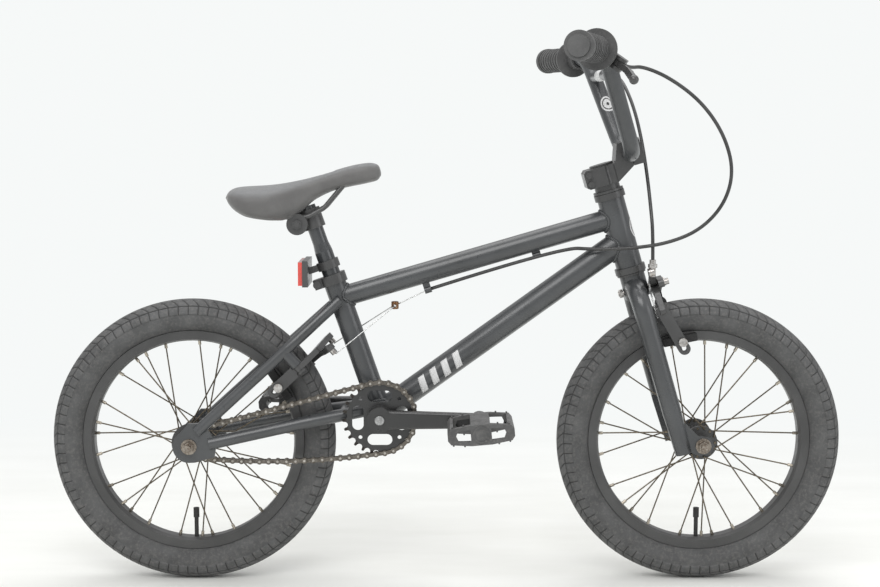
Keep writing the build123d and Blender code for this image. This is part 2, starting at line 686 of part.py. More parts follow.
def chain():
    pins, cog_turn, ring_turn = chain_points()
    links = []
    for k, start in enumerate(pins):
        end = pins[(k + 1) % len(pins)]
        outer = k % 2
        y = OUTER_PLATE_Y if outer else INNER_PLATE_Y
        body = link_plate(start, end, y) + link_plate(start, end, -y - PLATE_THICK)
        reach = y + PLATE_THICK + (0.5 if outer else 0)
        for pin in (start, end):
            near = pin - Y_AXIS * (CHAIN_LINE_Y + reach)
            far = pin - Y_AXIS * (CHAIN_LINE_Y - reach)
            if outer:
                body = body + rod(near, far, 1.75)
            else:
                roller = INNER_PLATE_Y + 0.01
                body = body + rod(
                    pin - Y_AXIS * (CHAIN_LINE_Y + roller), pin - Y_AXIS * (CHAIN_LINE_Y - roller), ROLLER_R
                )
                body = body - rod(near, far, 1.8)
        links.append(body)
    write("chain", *links)
    return cog_turn, ring_turn


def sprocket(centre, teeth, pitch_r, turn, thick):
    """A toothed disc whose seats hold the chain's rollers with a small clearance."""
    y = Y_AXIS * (-CHAIN_LINE_Y)
    disc = rod(centre + y - Y_AXIS * thick / 2, centre + y + Y_AXIS * thick / 2, pitch_r + TOOTH_HEIGHT)
    seat_r = ROLLER_R + SEAT_CLEARANCE
    flare = TOOTH_FLARE + TOOTH_FLARE_REACH * math.tan(math.pi / teeth)
    for k in range(teeth):
        angle = turn + 2 * math.pi * k / teeth
        out = Vector(math.cos(angle), 0, math.sin(angle))
        across = Vector(-out.Z, 0, out.X)
        spot = centre + y + out * pitch_r
        seat = rod(spot - Y_AXIS * 3, spot + Y_AXIS * 3, seat_r)
        corners = [
            spot + across * seat_r * 0.98, spot + out * 7 + across * (seat_r + flare),
            spot + out * 7 - across * (seat_r + flare), spot - across * seat_r * 0.98,
        ]
        mouth = extrude(make_face(Polyline(*corners, close=True)), amount=3, both=True)
        disc = disc - seat - mouth
    return disc


def drive(cog_turn, ring_turn):
    ring = sprocket(crank_centre, RING_TEETH, ring_pitch_r, ring_turn, TOOTH_THICK)
    y = -CHAIN_LINE_Y
    for k in range(4):
        window = Plane(
            origin=crank_centre + Y_AXIS * (y + 5), x_dir=Vector(1, 0, 0), z_dir=Vector(0, -1, 0)
        ) * (Rot(0, 0, 90 * k) * (Pos(0, 31) * SlotOverall(35, 16)))
        ring = ring - extrude(window, amount=10)
        spot = crank_plane * (Rot(0, 0, 90 * k + 45) * Pos(39, 0) * Circle(2.7))
        ring = ring - extrude(spot, amount=80)
    hub_outer = crank_centre - Y_AXIS * CRANK_INNER_Y
    ring = ring + rod(crank_centre - Y_AXIS * (CHAIN_LINE_Y - TOOTH_THICK / 2), hub_outer, CRANK_BOSS_R)
    ring = ring - rod(crank_centre - Y_AXIS * 20, crank_centre - Y_AXIS * 80, SPINDLE_R)
    write("chainring", ring)
    cog = sprocket(rear_axle, COG_TEETH, cog_pitch_r, cog_turn, TOOTH_THICK)
    cog_in = HUBS["rear"][2] + 6 + CLEAR
    cog = cog + rod(rear_axle - Y_AXIS * cog_in, rear_axle - Y_AXIS * (CHAIN_LINE_Y + 3), 13.0)
    cog = cog - rod(rear_axle, rear_axle - Y_AXIS * 70, CONE_R + RUN)
    write("freewheel_cog", cog)
    spindle_end = CRANK_INNER_Y + CRANK_THICK - 3
    spindle = rod(crank_centre - Y_AXIS * spindle_end, crank_centre + Y_AXIS * spindle_end, SPINDLE_R)
    caps = []
    for side in SIDES:
        base = crank_centre + Y_AXIS * side * spindle_end
        caps.append(rod(base, base + Y_AXIS * side * 4.5, 6.5))
    write("crank_spindle", spindle, *caps)


# -------------------------------------------------------------- cranks and pedals
def crank_ends(side):
    """Centre of the boss and of the pedal eye; the right crank points forward."""
    way = 1 if side == RIGHT else -1
    boss = crank_centre + Y_AXIS * side * (CRANK_INNER_Y + CRANK_THICK / 2)
    eye = boss + Vector(way * CRANK_LENGTH, side * CRANK_FLARE, 0)
    return boss, eye, way


def crank_arm(side):
    """A forged arm: round boss and eye, joined by a tapering bar that flares outwards."""
    boss, eye, way = crank_ends(side)
    out = Y_AXIS * side
    half = CRANK_THICK / 2
    ends = rod(boss - out * half, boss + out * half, CRANK_BOSS_R)
    ends = ends + rod(eye - out * (half - 1), eye + out * (half - 1), CRANK_EYE_R)
    first = Plane(origin=boss, x_dir=Vector(0, 1, 0), z_dir=Vector(way, 0, 0)) * RectangleRounded(
        CRANK_THICK - 1, 27, 4
    )
    last = Plane(origin=eye, x_dir=Vector(0, 1, 0), z_dir=Vector(way, 0, 0)) * RectangleRounded(
        CRANK_THICK - 3, 21, 4
    )
    arm = ends + loft([first, last])
    spindle_hole = rod(crank_centre, crank_centre + out * (CRANK_INNER_Y + CRANK_THICK - 3), SPINDLE_R)
    cap_hole = rod(crank_centre + out * 40, crank_centre + out * 90, 7.0)
    cap_hole = cap_hole - rod(crank_centre, crank_centre + out * (CRANK_INNER_Y + CRANK_THICK - 3), 9)
    return cut(arm, [spindle_hole, cap_hole, rod(eye - out * 20, eye + out * 20, PEDAL_AXLE_R)])


def pedal_parts(side):
    """A moulded platform with two through windows, turning on its axle."""
    _, eye, _ = crank_ends(side)
    out = Y_AXIS * side
    near = eye + out * (CRANK_THICK / 2 - 1 + PEDAL_GAP)
    far = near + out * PEDAL_WIDTH
    middle = (near + far) * 0.5
    half_l, half_t = PEDAL_LENGTH / 2, PEDAL_THICK / 2
    outline = [
        (-half_l, -3), (-half_l + 5, -half_t), (-14, -half_t), (-10, -half_t + 3), (10, -half_t + 3),
        (14, -half_t), (half_l - 5, -half_t), (half_l, -3), (half_l, 3), (half_l - 5, half_t),
        (14, half_t), (10, half_t - 3), (-10, half_t - 3), (-14, half_t), (-half_l + 5, half_t),
        (-half_l, 3),
    ]
    body = plate([(middle.X + x, middle.Z + z) for x, z in outline], PEDAL_WIDTH, middle.Y)
    tall = 2 * PEDAL_THICK
    for way in (-1, 1):
        for row in (-1, 0, 1):
            spot = middle + Vector(way * (half_l / 2 + 1), row * PEDAL_WIDTH / 3.3, 0)
            body = body - Plane(spot) * Box(half_l - 19, PEDAL_WIDTH / 3.3 - 6, tall)
        spot = middle + Vector(way * (half_l / 2 + 1), 0, 0)
        body = body - Plane(spot) * Box(half_l - 22, 2 * PEDAL_WIDTH, PEDAL_THICK - 14)
        for edge in (-1, 1):
            for row in range(-2, 3):
                base = middle + Vector(way * (half_l - 6.5), row * PEDAL_WIDTH / 5.2, edge * (half_t - 0.5))
                body = body + rod(base, base + Vector(0, 0, edge * 2.0), 1.6)
    body = body + rod(near + out * 0.5, far, 9.5)
    axle_end = far - out * 6
    body = body - rod(near - out * 2, axle_end + out * 0.5, PEDAL_AXLE_R + RUN)
    axle = rod(eye - out * (CRANK_THICK / 2 - 1), axle_end, PEDAL_AXLE_R)
    collar = rod(eye + out * (CRANK_THICK / 2 - 1), near - out * 1.0, PEDAL_AXLE_R + 2.5, PEDAL_AXLE_R)
    return body, [axle + collar]


def cranks_and_pedals():
    write("right_crank_arm", crank_arm(RIGHT))
    write("left_crank_arm", crank_arm(LEFT))
    axles = []
    for side, name in ((RIGHT, "right"), (LEFT, "left")):
        body, axle = pedal_parts(side)
        axles += axle
        write(name + "_pedal", body)
    write("pedal_axles", *axles)


# ------------------------------------------------------------------------- fork
CALIPER_S = 233.0
CENTRE_BOLT_R = 3.5


def fork():
    crown = rod(on_steer(0, 0, CROWN_LOW), on_steer(0, 0, HEAD_TUBE_LOW - CUP_HEIGHT - 3), CROWN_R)
    steerer = crown + rod(on_steer(0, 0, CROWN_LOW), on_steer(0, 0, STEERER_TOP), STEERER_R)
    steerer = steerer - rod(on_steer(0, 0, CROWN_LOW + 30), on_steer(0, 0, STEERER_TOP), STEERER_BORE_R)
    bolt_hole = rod(on_steer(-40, 0, CALIPER_S), on_steer(40, 0, CALIPER_S), CENTRE_BOLT_R)
    legs = []
    for side in SIDES:
        leg_y = side * FORK_LEG_Y
        path = [
            on_steer(FORK_LEG_F, side * 6, CROWN_LOW + 18),
            on_steer(FORK_LEG_F, leg_y, CROWN_LOW + 6),
            on_steer(FORK_LEG_F, leg_y, 60),
        ]
        leg = bent(path, FORK_LEG_R, 32)
        foot = on_steer(FORK_LEG_F, leg_y, FORK_LEG_LOW)
        leg = leg + cone(path[2], foot, FORK_LEG_R, FORK_LEG_TIP_R)
        drop_y = side * (FRONT_HALF_SPACING + DROPOUT_THICK / 2)
        outline = [(-12, 46), (4, 50), (24, 16), (40, 8), (42, -6), (32, -14), (18, -12), (2, 0), (-9, 14)]
        points = [on_steer(f, 0, s) for f, s in outline]
        drop = plate([(p.X, p.Z) for p in points], DROPOUT_THICK, drop_y)
        inner = FRONT_HALF_SPACING
        slab = steer * Pos(0, side * (inner - 20), 0) * Box(120, 40, 140)
        leg = leg - slab + drop
        hole = rod(front_axle - Y_AXIS * 80, front_axle + Y_AXIS * 80, AXLE_R + 0.1)
        legs.append(cut(leg, [hole, crown, bolt_hole]))
    write("fork_steerer", steerer - bolt_hole)
    write("fork_legs", *legs)


def headset_top():
    """Crown race, upper race, spacer and the stem's top cap, all round the steerer."""
    top = HEAD_TUBE_HIGH + CUP_HEIGHT
    low = HEAD_TUBE_LOW - CUP_HEIGHT
    crown_race = ring_solid(steer, RACE_R, STEERER_R, low - 3, HEAD_TUBE_LOW - 2.5)
    crown_race = crown_race + ring_solid(steer, 20.5, STEERER_R, low - 3, low - 0.5)
    upper_race = ring_solid(steer, RACE_R, STEERER_R, HEAD_TUBE_HIGH + 2.5, top + 1)
    upper_race = upper_race + ring_solid(steer, 21.5, STEERER_R, top + 0.5, top + 4)
    spacer = ring_solid(steer, 18.0, STEERER_R, top + 4, STEM_LOW)
    cap = rod(on_steer(0, 0, STEERER_TOP), on_steer(0, 0, STEERER_TOP + 3), 17)
    write("headset_spacers", crown_race, upper_race, spacer, cap)


# ----------------------------------------------------------------- bars and stem
STEM_SPLIT = 1.2


def side_profile(points, half_width):
    """A solid cut from the side view, given forward of and along the steering axis."""
    face = make_face(Polyline(*[on_steer(f, half_width, s) for f, s in points], close=True))
    return extrude(face, amount=2 * half_width, dir=Vector(0, -1, 0))


def stem():
    clamp_f, clamp_s = BAR_CLAMP_F, BAR_CLAMP_S
    split = clamp_f + STEM_SPLIT
    body = side_profile(
        [
            (-29, STEM_LOW + 3), (-29, STEERER_TOP - 4), (-25, STEERER_TOP), (18, STEERER_TOP),
            (27, clamp_s + 18), (split, clamp_s + 18), (split, clamp_s - 18), (16, STEM_LOW),
            (-25, STEM_LOW),
        ],
        STEM_HALF_WIDTH,
    )
    cap = side_profile(
        [
            (split + STEM_SPLIT, clamp_s + 18), (split + 12, clamp_s + 17), (split + 18, clamp_s + 9),
            (split + 18, clamp_s - 11), (split + 12, clamp_s - 18), (split + STEM_SPLIT, clamp_s - 18),
        ],
        STEM_HALF_WIDTH,
    )
    bar_hole = rod(on_steer(clamp_f, -60, clamp_s), on_steer(clamp_f, 60, clamp_s), BAR_R)
    steerer_hole = rod(on_steer(0, 0, STEM_LOW - 5), on_steer(0, 0, STEERER_TOP + 5), STEERER_R)
    pinch_gap = steer * Pos(-25, 0, (STEM_LOW + STEERER_TOP) / 2) * Box(30, 2, 60)
    waist = []
    for side in SIDES:
        waist.append(
            steer * Pos(9, side * (STEM_HALF_WIDTH + 4), (STEM_LOW + STEERER_TOP) / 2) * Cylinder(8, 80)
        )
    bolts, holes = [], []
    for side in SIDES:
        for up in (-14.5, 14.5):
            head_at = on_steer(split + 14.5, side * 17, clamp_s + up)
            foot = on_steer(split - 12, side * 17, clamp_s + up)
            holes.append(rod(foot, head_at, 2.6))
            holes.append(rod(head_at - forward * 1.5, head_at + forward * 9, 4.4))
            bolts.append(rod(foot, head_at, 2.6) + rod(head_at - forward * 1.5, head_at + forward * 2.5, 4.2))
    for s in (STEM_LOW + 7, STEERER_TOP - 7):
        near = on_steer(-22.5, -STEM_HALF_WIDTH - 2, s)
        far = on_steer(-22.5, STEM_HALF_WIDTH - 4, s)
        holes.append(rod(near, far, 2.6))
        bolts.append(rod(near, far, 2.6) + rod(near, near - Y_AXIS * 3.5, 4.4))
    body = cut(body, [bar_hole, steerer_hole, pinch_gap] + waist + holes)
    cap = cut(cap, [bar_hole] + holes)
    write("stem", body)
    write("stem_clamp", cap)
    write("stem_bolts", *bolts)


LOWER_BEND_Y = 66.0
UPPER_BEND_Y = 134.0
bar_top_s = BAR_CLAMP_S + BAR_RISE
UPPER_BEND_F = 34.0
BAR_END_F = -11.0
BAR_END_UP = 14.0


def bar_points(side):
    return [
        on_steer(BAR_CLAMP_F, side * LOWER_BEND_Y, BAR_CLAMP_S),
        on_steer(UPPER_BEND_F, side * UPPER_BEND_Y, bar_top_s),
        on_steer(BAR_END_F, side * BAR_HALF_WIDTH, bar_top_s + BAR_END_UP),
    ]


def bar_end(side):
    """End point of the bar and the unit direction that it points in there."""
    points = bar_points(side)
    return points[2], (points[2] - points[1]).normalized()


def crossbar_point(side):
    low, high = bar_points(side)[:2]
    share = (BAR_RISE - CROSSBAR_DROP) / BAR_RISE
    return low + (high - low) * share


def handlebar():
    right, left = bar_points(RIGHT), bar_points(LEFT)
    path = right[::-1] + left
    bends = [42, 42, 42, 42]
    bar = bent(path, BAR_R, bends, BAR_BORE_R)
    crossbar = rod(crossbar_point(RIGHT), crossbar_point(LEFT), CROSSBAR_R)
    crossbar = crossbar - bent(path, BAR_R, bends)
    crossbar = min(crossbar.solids(), key=lambda s: abs(s.center().Y))
    write("handlebar", bar, crossbar)


def grips():
    pieces = []
    for side in SIDES:
        end, out = bar_end(side)
        inner = end - out * GRIP_LENGTH
        grip = rod(inner, end + out * 1.5, GRIP_R) + rod(inner, inner + out * 4, GRIP_FLANGE_R)
        ribs = 9
        for k in range(ribs):
            at = inner + out * (12 + (GRIP_LENGTH - 26) * k / (ribs - 1))
            grip = grip + rod(at, at + out * 4, GRIP_R + 1.2)
        grip = grip + rod(end - out * 6, end + out * 3, GRIP_R + 2)
        pieces.append(grip - rod(inner, end, BAR_R) - rod(end, end + out * 8, BAR_R - 2))
        pieces.append(rod(end, end + out * 5, BAR_R - 2) + rod(end + out * 3, end + out * 6, GRIP_R - 3))
    write("grips", *pieces)


# ---------------------------------------------------------------- brake levers
LEVER_DROP = math.radians(34)
lever_out = Vector(math.cos(LEVER_DROP), 0, -math.sin(LEVER_DROP))
LEVER_REACH = 30.0
LEVER_LENGTH = 92.0
LEVER_SPREAD = 40.0
LEVER_BLADE = 8.0
CLAMP_GAP = 20.0
BEND_RELIEF = 0.8


def lever_frame(side):
    """Frame of one lever: x away from the bar, y along the bar to its end, z the pivot's axis."""
    end, out = bar_end(side)
    centre = end - out * (GRIP_LENGTH + CLAMP_GAP)
    x_dir = (lever_out - out * lever_out.dot(out)).normalized()
    return Plane(origin=centre, x_dir=x_dir, z_dir=x_dir.cross(out))


def lever_parts(side):
    """The clamped bracket with its cable adjuster, and the blade that pivots in it."""
    frame = lever_frame(side)
    at = frame.from_local_coords
    _, out = bar_end(side)
    bar = rod(at(Vector(0, -20, 0)), at(Vector(0, 20, 0)), BAR_R + RUN)
    bend_room = rod(at(Vector(0, -20, 0)), at(Vector(0, -6, 0)), BAR_R + BEND_RELIEF)
    pivot = at(Vector(LEVER_REACH, 4, 0))
    up = frame.z_dir
    clamp = rod(at(Vector(0, -9, 0)), at(Vector(0, 9, 0)), BAR_R + 4)
    block = frame * Pos(LEVER_REACH / 2 + 5, -2, 0) * Box(LEVER_REACH + 4, 22, 18)
    nose = rod(pivot - up * 9, pivot + up * 9, 9)
    barrel_in = at(Vector(LEVER_REACH - 4, -12, 0))
    barrel_out = at(Vector(LEVER_REACH + 2, -26, 0))
    bracket = clamp + block + nose + rod(barrel_in, barrel_out, 5)
    fork_slot = frame * Pos(LEVER_REACH + 6, 8, 0) * Box(44, 40, LEVER_BLADE + 2 * CLEAR)
    slot_keep = frame * Pos(LEVER_REACH - 12, 8, 0) * Box(10, 60, 40)
    bracket = bracket - (fork_slot - slot_keep) - bar - bend_room
    bracket = bracket - rod(pivot - up * 12, pivot + up * 12, 2.5)
    pin = rod(pivot - up * 9, pivot + up * 9, 2.5)
    half = LEVER_BLADE / 2
    blade_end = at(Vector(LEVER_REACH + LEVER_SPREAD, LEVER_LENGTH - 24, 0))
    bend = at(Vector(LEVER_REACH + 20, 18, 0))
    blade = rod(pivot - up * half, pivot + up * half, 7)
    for start, end, width in ((pivot, bend, 11), (bend, blade_end, 9)):
        along = (end - start).normalized()
        bar_piece = Plane(origin=(start + end) * 0.5, x_dir=along, z_dir=up) * Box(
            (end - start).length, width, LEVER_BLADE
        )
        blade = blade + bar_piece
    blade = blade + rod(bend - up * half, bend + up * half, 5.4)
    blade = blade + ball(blade_end, 6.2)
    blade = blade - rod(pivot - up * 12, pivot + up * 12, 2.5 + RUN)
    return bracket, pin, blade, barrel_out, (barrel_out - barrel_in).normalized()


def levers():
    brackets = []
    for side, name in ((RIGHT, "right"), (LEFT, "left")):
        bracket, pin, blade, _, _ = lever_parts(side)
        brackets += [bracket, pin]
        write(name + "_brake_lever", blade)
    write("lever_brackets", *brackets)


# -------------------------------------------------------------------- brake arms
FRONT_PAD_DOWN = 84.0
FRONT_ARM_F = 20.0
FRONT_ARM_Y = 42.0
CABLE_Y = 36.0
ADJUSTER_S = 22.0
front_pad_f = FORK_OFFSET + math.sqrt(PAD_R**2 - (CALIPER_S - FRONT_PAD_DOWN) ** 2)


def pad_set(plane, n, e, side, arm_y, turn):
    """A brake pad on its stud: rubber block by the rim, and the bolt through the arm."""
    at = plane.from_local_coords
    inner = RIM_HALF_WIDTH + PAD_GAP
    spot = at(Vector(n, side * (inner + PAD_THICK / 2), e))
    pad = Plane(origin=spot, x_dir=turn, z_dir=Y_AXIS) * Box(PAD_LENGTH, PAD_HEIGHT, PAD_THICK)
    bolt = rod(at(Vector(n, side * (inner + PAD_THICK), e)), at(Vector(n, side * (arm_y + 7), e)), BOLT_R)
    head_at = at(Vector(n, side * (arm_y + 4), e))
    bolt = bolt + rod(head_at, head_at + Y_AXIS * side * 5, 6.2)
    return pad, bolt


def lower_link(plane, side, start, end, arm_y, thick, width):
    """The slotted lower part of an arm, flat beside the wheel, from (n, e) to (n, e)."""
    at = plane.from_local_coords
    ends = [at(Vector(n, side * arm_y, e)) for n, e in (start, end)]
    out = Y_AXIS * side * thick / 2
    along = (ends[1] - ends[0]).normalized()
    body = rod(ends[0] - out, ends[0] + out, width / 2) + rod(ends[1] - out, ends[1] + out, width / 2)
    return body + Plane(origin=(ends[0] + ends[1]) * 0.5, x_dir=along, z_dir=Y_AXIS) * Box(
        (ends[1] - ends[0]).length, width, thick
    )


def flat_arm(plane, n_low, points, width):
    """The upper part of an arm: round-jointed bars in the plane across the wheel."""
    at = plane.from_local_coords
    pieces = []
    for (y, e), (y2, e2) in zip(points, points[1:]):
        start, end = at(Vector(n_low + ARM_THICK / 2, y, e)), at(Vector(n_low + ARM_THICK / 2, y2, e2))
        along = (end - start).normalized()
        pieces.append(
            Plane(origin=(start + end) * 0.5, x_dir=along, z_dir=plane.x_dir)
            * Box((end - start).length, width, ARM_THICK)
        )
    for y, e in points:
        low = at(Vector(n_low, y, e))
        pieces.append(rod(low, low + plane.x_dir * ARM_THICK, width / 2))
    return fuse(pieces)


def front_brake():
    """Side-pull caliper: two arms on one bolt through the crown, squeezed by the cable."""
    at = on_steer
    nut_f = -CROWN_R - 1
    bolt_end = FRONT_ARM_F + 2 * ARM_THICK + 2 * ARM_GAP
    bolt = rod(at(nut_f - 7, 0, CALIPER_S), at(bolt_end + 6, 0, CALIPER_S), CENTRE_BOLT_R)
    nut = hexagon(at(nut_f - 6, 0, CALIPER_S), 6.0, 6, forward)
    nut = nut - rod(at(nut_f - 8, 0, CALIPER_S), at(0, 0, CALIPER_S), CENTRE_BOLT_R)
    head_nut = hexagon(at(bolt_end, 0, CALIPER_S), 6.5, 5, forward)
    head_nut = head_nut - rod(at(0, 0, CALIPER_S), at(80, 0, CALIPER_S), CENTRE_BOLT_R)
    caliper = Plane(origin=at(0, 0, CALIPER_S), x_dir=forward, z_dir=upward)
    pivot_hole = rod(at(-10, 0, CALIPER_S), at(80, 0, CALIPER_S), CENTRE_BOLT_R + RUN)
    pad_point = on_steer(front_pad_f, 0, CALIPER_S - FRONT_PAD_DOWN)
    radial = (pad_point - front_axle).normalized()
    tangent = Vector(radial.Z, 0, -radial.X)
    arms = {}
    for side in SIDES:
        n_low = FRONT_ARM_F if side == RIGHT else FRONT_ARM_F + ARM_THICK + ARM_GAP
        shoulder = (side * 34, -12)
        knee = (side * FRONT_ARM_Y, -34)
        if side == RIGHT:
            top = [(-CABLE_Y, ADJUSTER_S), (-26, 10), (0, 0), shoulder, knee]
        else:
            top = [(-CABLE_Y, 4), (-20, 6), (0, 0), shoulder, knee]
        upper = flat_arm(caliper, n_low, top, 13)
        start = (n_low + ARM_THICK / 2, -34)
        end = (front_pad_f, -FRONT_PAD_DOWN - 10)
        lower = lower_link(caliper, side, start, end, FRONT_ARM_Y, 7, 17)
        pad, bolt_piece = pad_set(caliper, front_pad_f, -FRONT_PAD_DOWN, side, FRONT_ARM_Y, tangent)
        slot = lower_link(
            caliper, side, (front_pad_f - 0.5, -FRONT_PAD_DOWN + 1), (front_pad_f, -FRONT_PAD_DOWN - 10),
            FRONT_ARM_Y, 9, 2 * BOLT_R + 0.4,
        )
        arm = cut(upper + lower, [pivot_hole, slot])
        arms[side] = [arm, pad, bolt_piece]
    return arms, [bolt, nut, head_nut]


def rear_brake_arms():
    """Two crossed arms that pivot on the seat stays' bosses and meet the cable above the tyre."""
    at = on_rear_brake
    pad_point = at(REAR_ARM_N + 5.0, 0, -REAR_PIVOT_UP)
    radial = (pad_point - rear_axle).normalized()
    tangent = Vector(radial.Z, 0, -radial.X)
    arms, bolts = {}, []
    for side in SIDES:
        n_low = rear_arm_low(side)
        pivot_y = side * REAR_PIVOT_Y
        top = n_low + ARM_THICK
        points = [(pivot_y, 0), (side * 24, 30), (-side * 12, 42), (-side * 30, 50)]
        upper = flat_arm(rear_brake, n_low, points, 13)
        lower = lower_link(
            rear_brake, side, (n_low + ARM_THICK / 2, 0), (REAR_ARM_N + 5, -REAR_PIVOT_UP - 9),
            REAR_PIVOT_Y - 1, 7, 17,
        )
        pad, bolt_piece = pad_set(
            rear_brake, REAR_ARM_N + 5, -REAR_PIVOT_UP, side, REAR_PIVOT_Y - 1, tangent
        )
        slot = lower_link(
            rear_brake, side, (REAR_ARM_N + 5, -REAR_PIVOT_UP + 1), (REAR_ARM_N + 5, -REAR_PIVOT_UP - 9),
            REAR_PIVOT_Y - 1, 9, 2 * BOLT_R + 0.4,
        )
        hole = rod(at(0, pivot_y, 0), at(60, pivot_y, 0), BRAKE_PIVOT_R + RUN)
        boss_room = rod(at(-5, pivot_y, 0), at(n_low, pivot_y, 0), REAR_BOSS_R + CLEAR)
        head_room = rod(at(top, pivot_y, 0), at(top + 30, pivot_y, 0), REAR_BOSS_R)
        arm = cut(upper + lower, [hole, slot, boss_room, head_room])
        arms[side] = [arm, pad, bolt_piece]
        pivot = rod(at(2, pivot_y, 0), at(top + 0.5, pivot_y, 0), BRAKE_PIVOT_R)
        bolts.append(pivot + rod(at(top + 0.5, pivot_y, 0), at(top + 4, pivot_y, 0), 7.5))
    return arms, bolts


def anchor(plane, n, y, e):
    """The clamping bolt that grips the wire at an arm's end."""
    spot = plane.from_local_coords(Vector(n, y, e))
    return rod(spot, spot + plane.x_dir * 7, 4.5)


def brakes():
    front_arms, bolts = front_brake()
    caliper = Plane(origin=on_steer(0, 0, CALIPER_S), x_dir=forward, z_dir=upward)
    write("front_brake_bolt", *bolts)
    up = Vector(0, 0, 1)
    adjuster_low = on_steer(FRONT_ARM_F + ARM_THICK / 2, -CABLE_Y, CALIPER_S + ADJUSTER_S - 6.5)
    adjuster_high = adjuster_low + up * 24
    adjuster = rod(adjuster_low, adjuster_high, 4.5) + rod(
        adjuster_low + up * 13, adjuster_low + up * 18, 6.5
    )
    bore = rod(adjuster_low - up * 2, adjuster_high - up * 7, 2.2)
    socket = rod(adjuster_high - up * 8, adjuster_high + up, CABLE_R)
    right = front_arms[RIGHT]
    right[0] = cut(right[0] + adjuster, [bore, socket])
    left = front_arms[LEFT]
    grip_at = FRONT_ARM_F + ARM_THICK * 2 + ARM_GAP
    left.append(anchor(caliper, grip_at, -CABLE_Y, 4))
    write("front_right_brake_arm", *right)
    write("front_left_brake_arm", *left)
    rear_arms, rear_bolts = rear_brake_arms()
    for side, name in ((RIGHT, "right"), (LEFT, "left")):
        n_top = rear_arm_low(side) + ARM_THICK
        rear_arms[side].append(anchor(rear_brake, n_top, -side * 30, 50))
        write("rear_" + name + "_brake_arm", *rear_arms[side])
    write("rear_brake_bolts", *rear_bolts)
    return adjuster_high - up * 8


# --------------------------------------------------------------------- cables
def cord(points, radius):
    """A tube along the route's runs, with the largest arc that each corner allows."""
    radii = []
    for before, corner, after in zip(points, points[1:], points[2:]):
        first, second = corner - before, after - corner
        turn = math.radians(first.get_angle(second))
        radii.append(0.45 * min(first.length, second.length) / math.tan(turn / 2))
    print("arc radii", [round(r) for r in radii])
    return bent(points, radius, radii)


# Places that the housings pass: ahead of the front axle, to the left, above the ground.
REAR_ROUTE = [
    (-100, -112, 731), (-62, -103, 716), (-17, -92, 684), (16, -82, 640), (32, -72, 590),
    (22, -62, 544), (-10, -57, 508), (-54, -51, 489), (-102, -40, 481), (-150, -24, 478),
]
FRONT_ROUTE = [
    (-103, 84, 713), (-91, 50, 676), (-83, 18, 628), (-78, -6, 580), (-75, -22, 540),
]
FRONT_CABLE_RISE = 45.0


def places(route):
    return [Vector(front_axle.X + x, y, z) for x, y, z in route]


def cables(front_socket):
    right_start, right_way = lever_parts(RIGHT)[3:]
    left_start, left_way = lever_parts(LEFT)[3:]
    route = [right_start, right_start + right_way * 16] + places(REAR_ROUTE)
    far = guide_centre + cable_way * 36
    route += [far, stop_centre]
    housing = cord(route, CABLE_R)
    write("rear_brake_cable", housing)
    route = [left_start, left_start + left_way * 34] + places(FRONT_ROUTE)
    route += [front_socket + Vector(0, 0, FRONT_CABLE_RISE), front_socket]
    write("front_brake_cable", cord(route, CABLE_R))
    yoke = top_under(YOKE_X, STOP_BELOW + 8.5)
    yoke_way = (yoke - stop_centre).normalized()
    pull = rod(stop_centre + yoke_way * 0.5, yoke - yoke_way * 5, WIRE_R)
    hanger = rod(yoke - yoke_way * 5, yoke + yoke_way * 6, 5.5)
    bar = rod(yoke + yoke_way * 2 - Y_AXIS * 9, yoke + yoke_way * 2 + Y_AXIS * 9, 2.5)
    pieces = [pull, hanger + bar]
    for side in SIDES:
        n_top = rear_arm_low(side) + ARM_THICK
        end = on_rear_brake(n_top + 8, -side * 30, 50)
        pieces.append(rod(yoke + yoke_way * 2 - Y_AXIS * side * 9.5, end, WIRE_R))
    write("rear_brake_wire", *pieces)


# ------------------------------------------------------------------------- seat
def seat_clamp():
    high = SEAT_TUBE_LENGTH + 3
    low = SEAT_TUBE_LENGTH - 11
    axis_plane = Plane(origin=crank_centre, x_dir=seat_back, z_dir=seat_up)
    collar = ring_solid(axis_plane, SEAT_TUBE_R + 3.2, SEAT_TUBE_R, low, SEAT_TUBE_LENGTH)
    collar = collar + ring_solid(axis_plane, SEAT_TUBE_R + 3.2, POST_R + RUN, SEAT_TUBE_LENGTH, high)
    middle = (low + high) / 2
    behind = Plane(origin=on_seat(middle, SEAT_TUBE_R + 6), x_dir=seat_back, z_dir=seat_up)
    lug = behind * Box(13, 20, high - low)
    lug = lug - rod(on_seat(low - 5), on_seat(high + 5), SEAT_TUBE_R + 2)
    gap = behind * Box(26, 2, 30)
    bolt_at = on_seat(middle, SEAT_TUBE_R + 8)
    hole = rod(bolt_at - Y_AXIS * 20, bolt_at + Y_AXIS * 20, 2.5)
    bolt = rod(bolt_at - Y_AXIS * 13, bolt_at + Y_AXIS * 10, 2.5) + rod(
        bolt_at - Y_AXIS * 14, bolt_at - Y_AXIS * 10, 5.6
    )
    write("seat_clamp", collar + lug - gap - hole, bolt)


CLAMP_BACK = 20.0
CLAMP_AT = 295.0
CLAMP_R = 15.0
RAIL_UP = 10.0


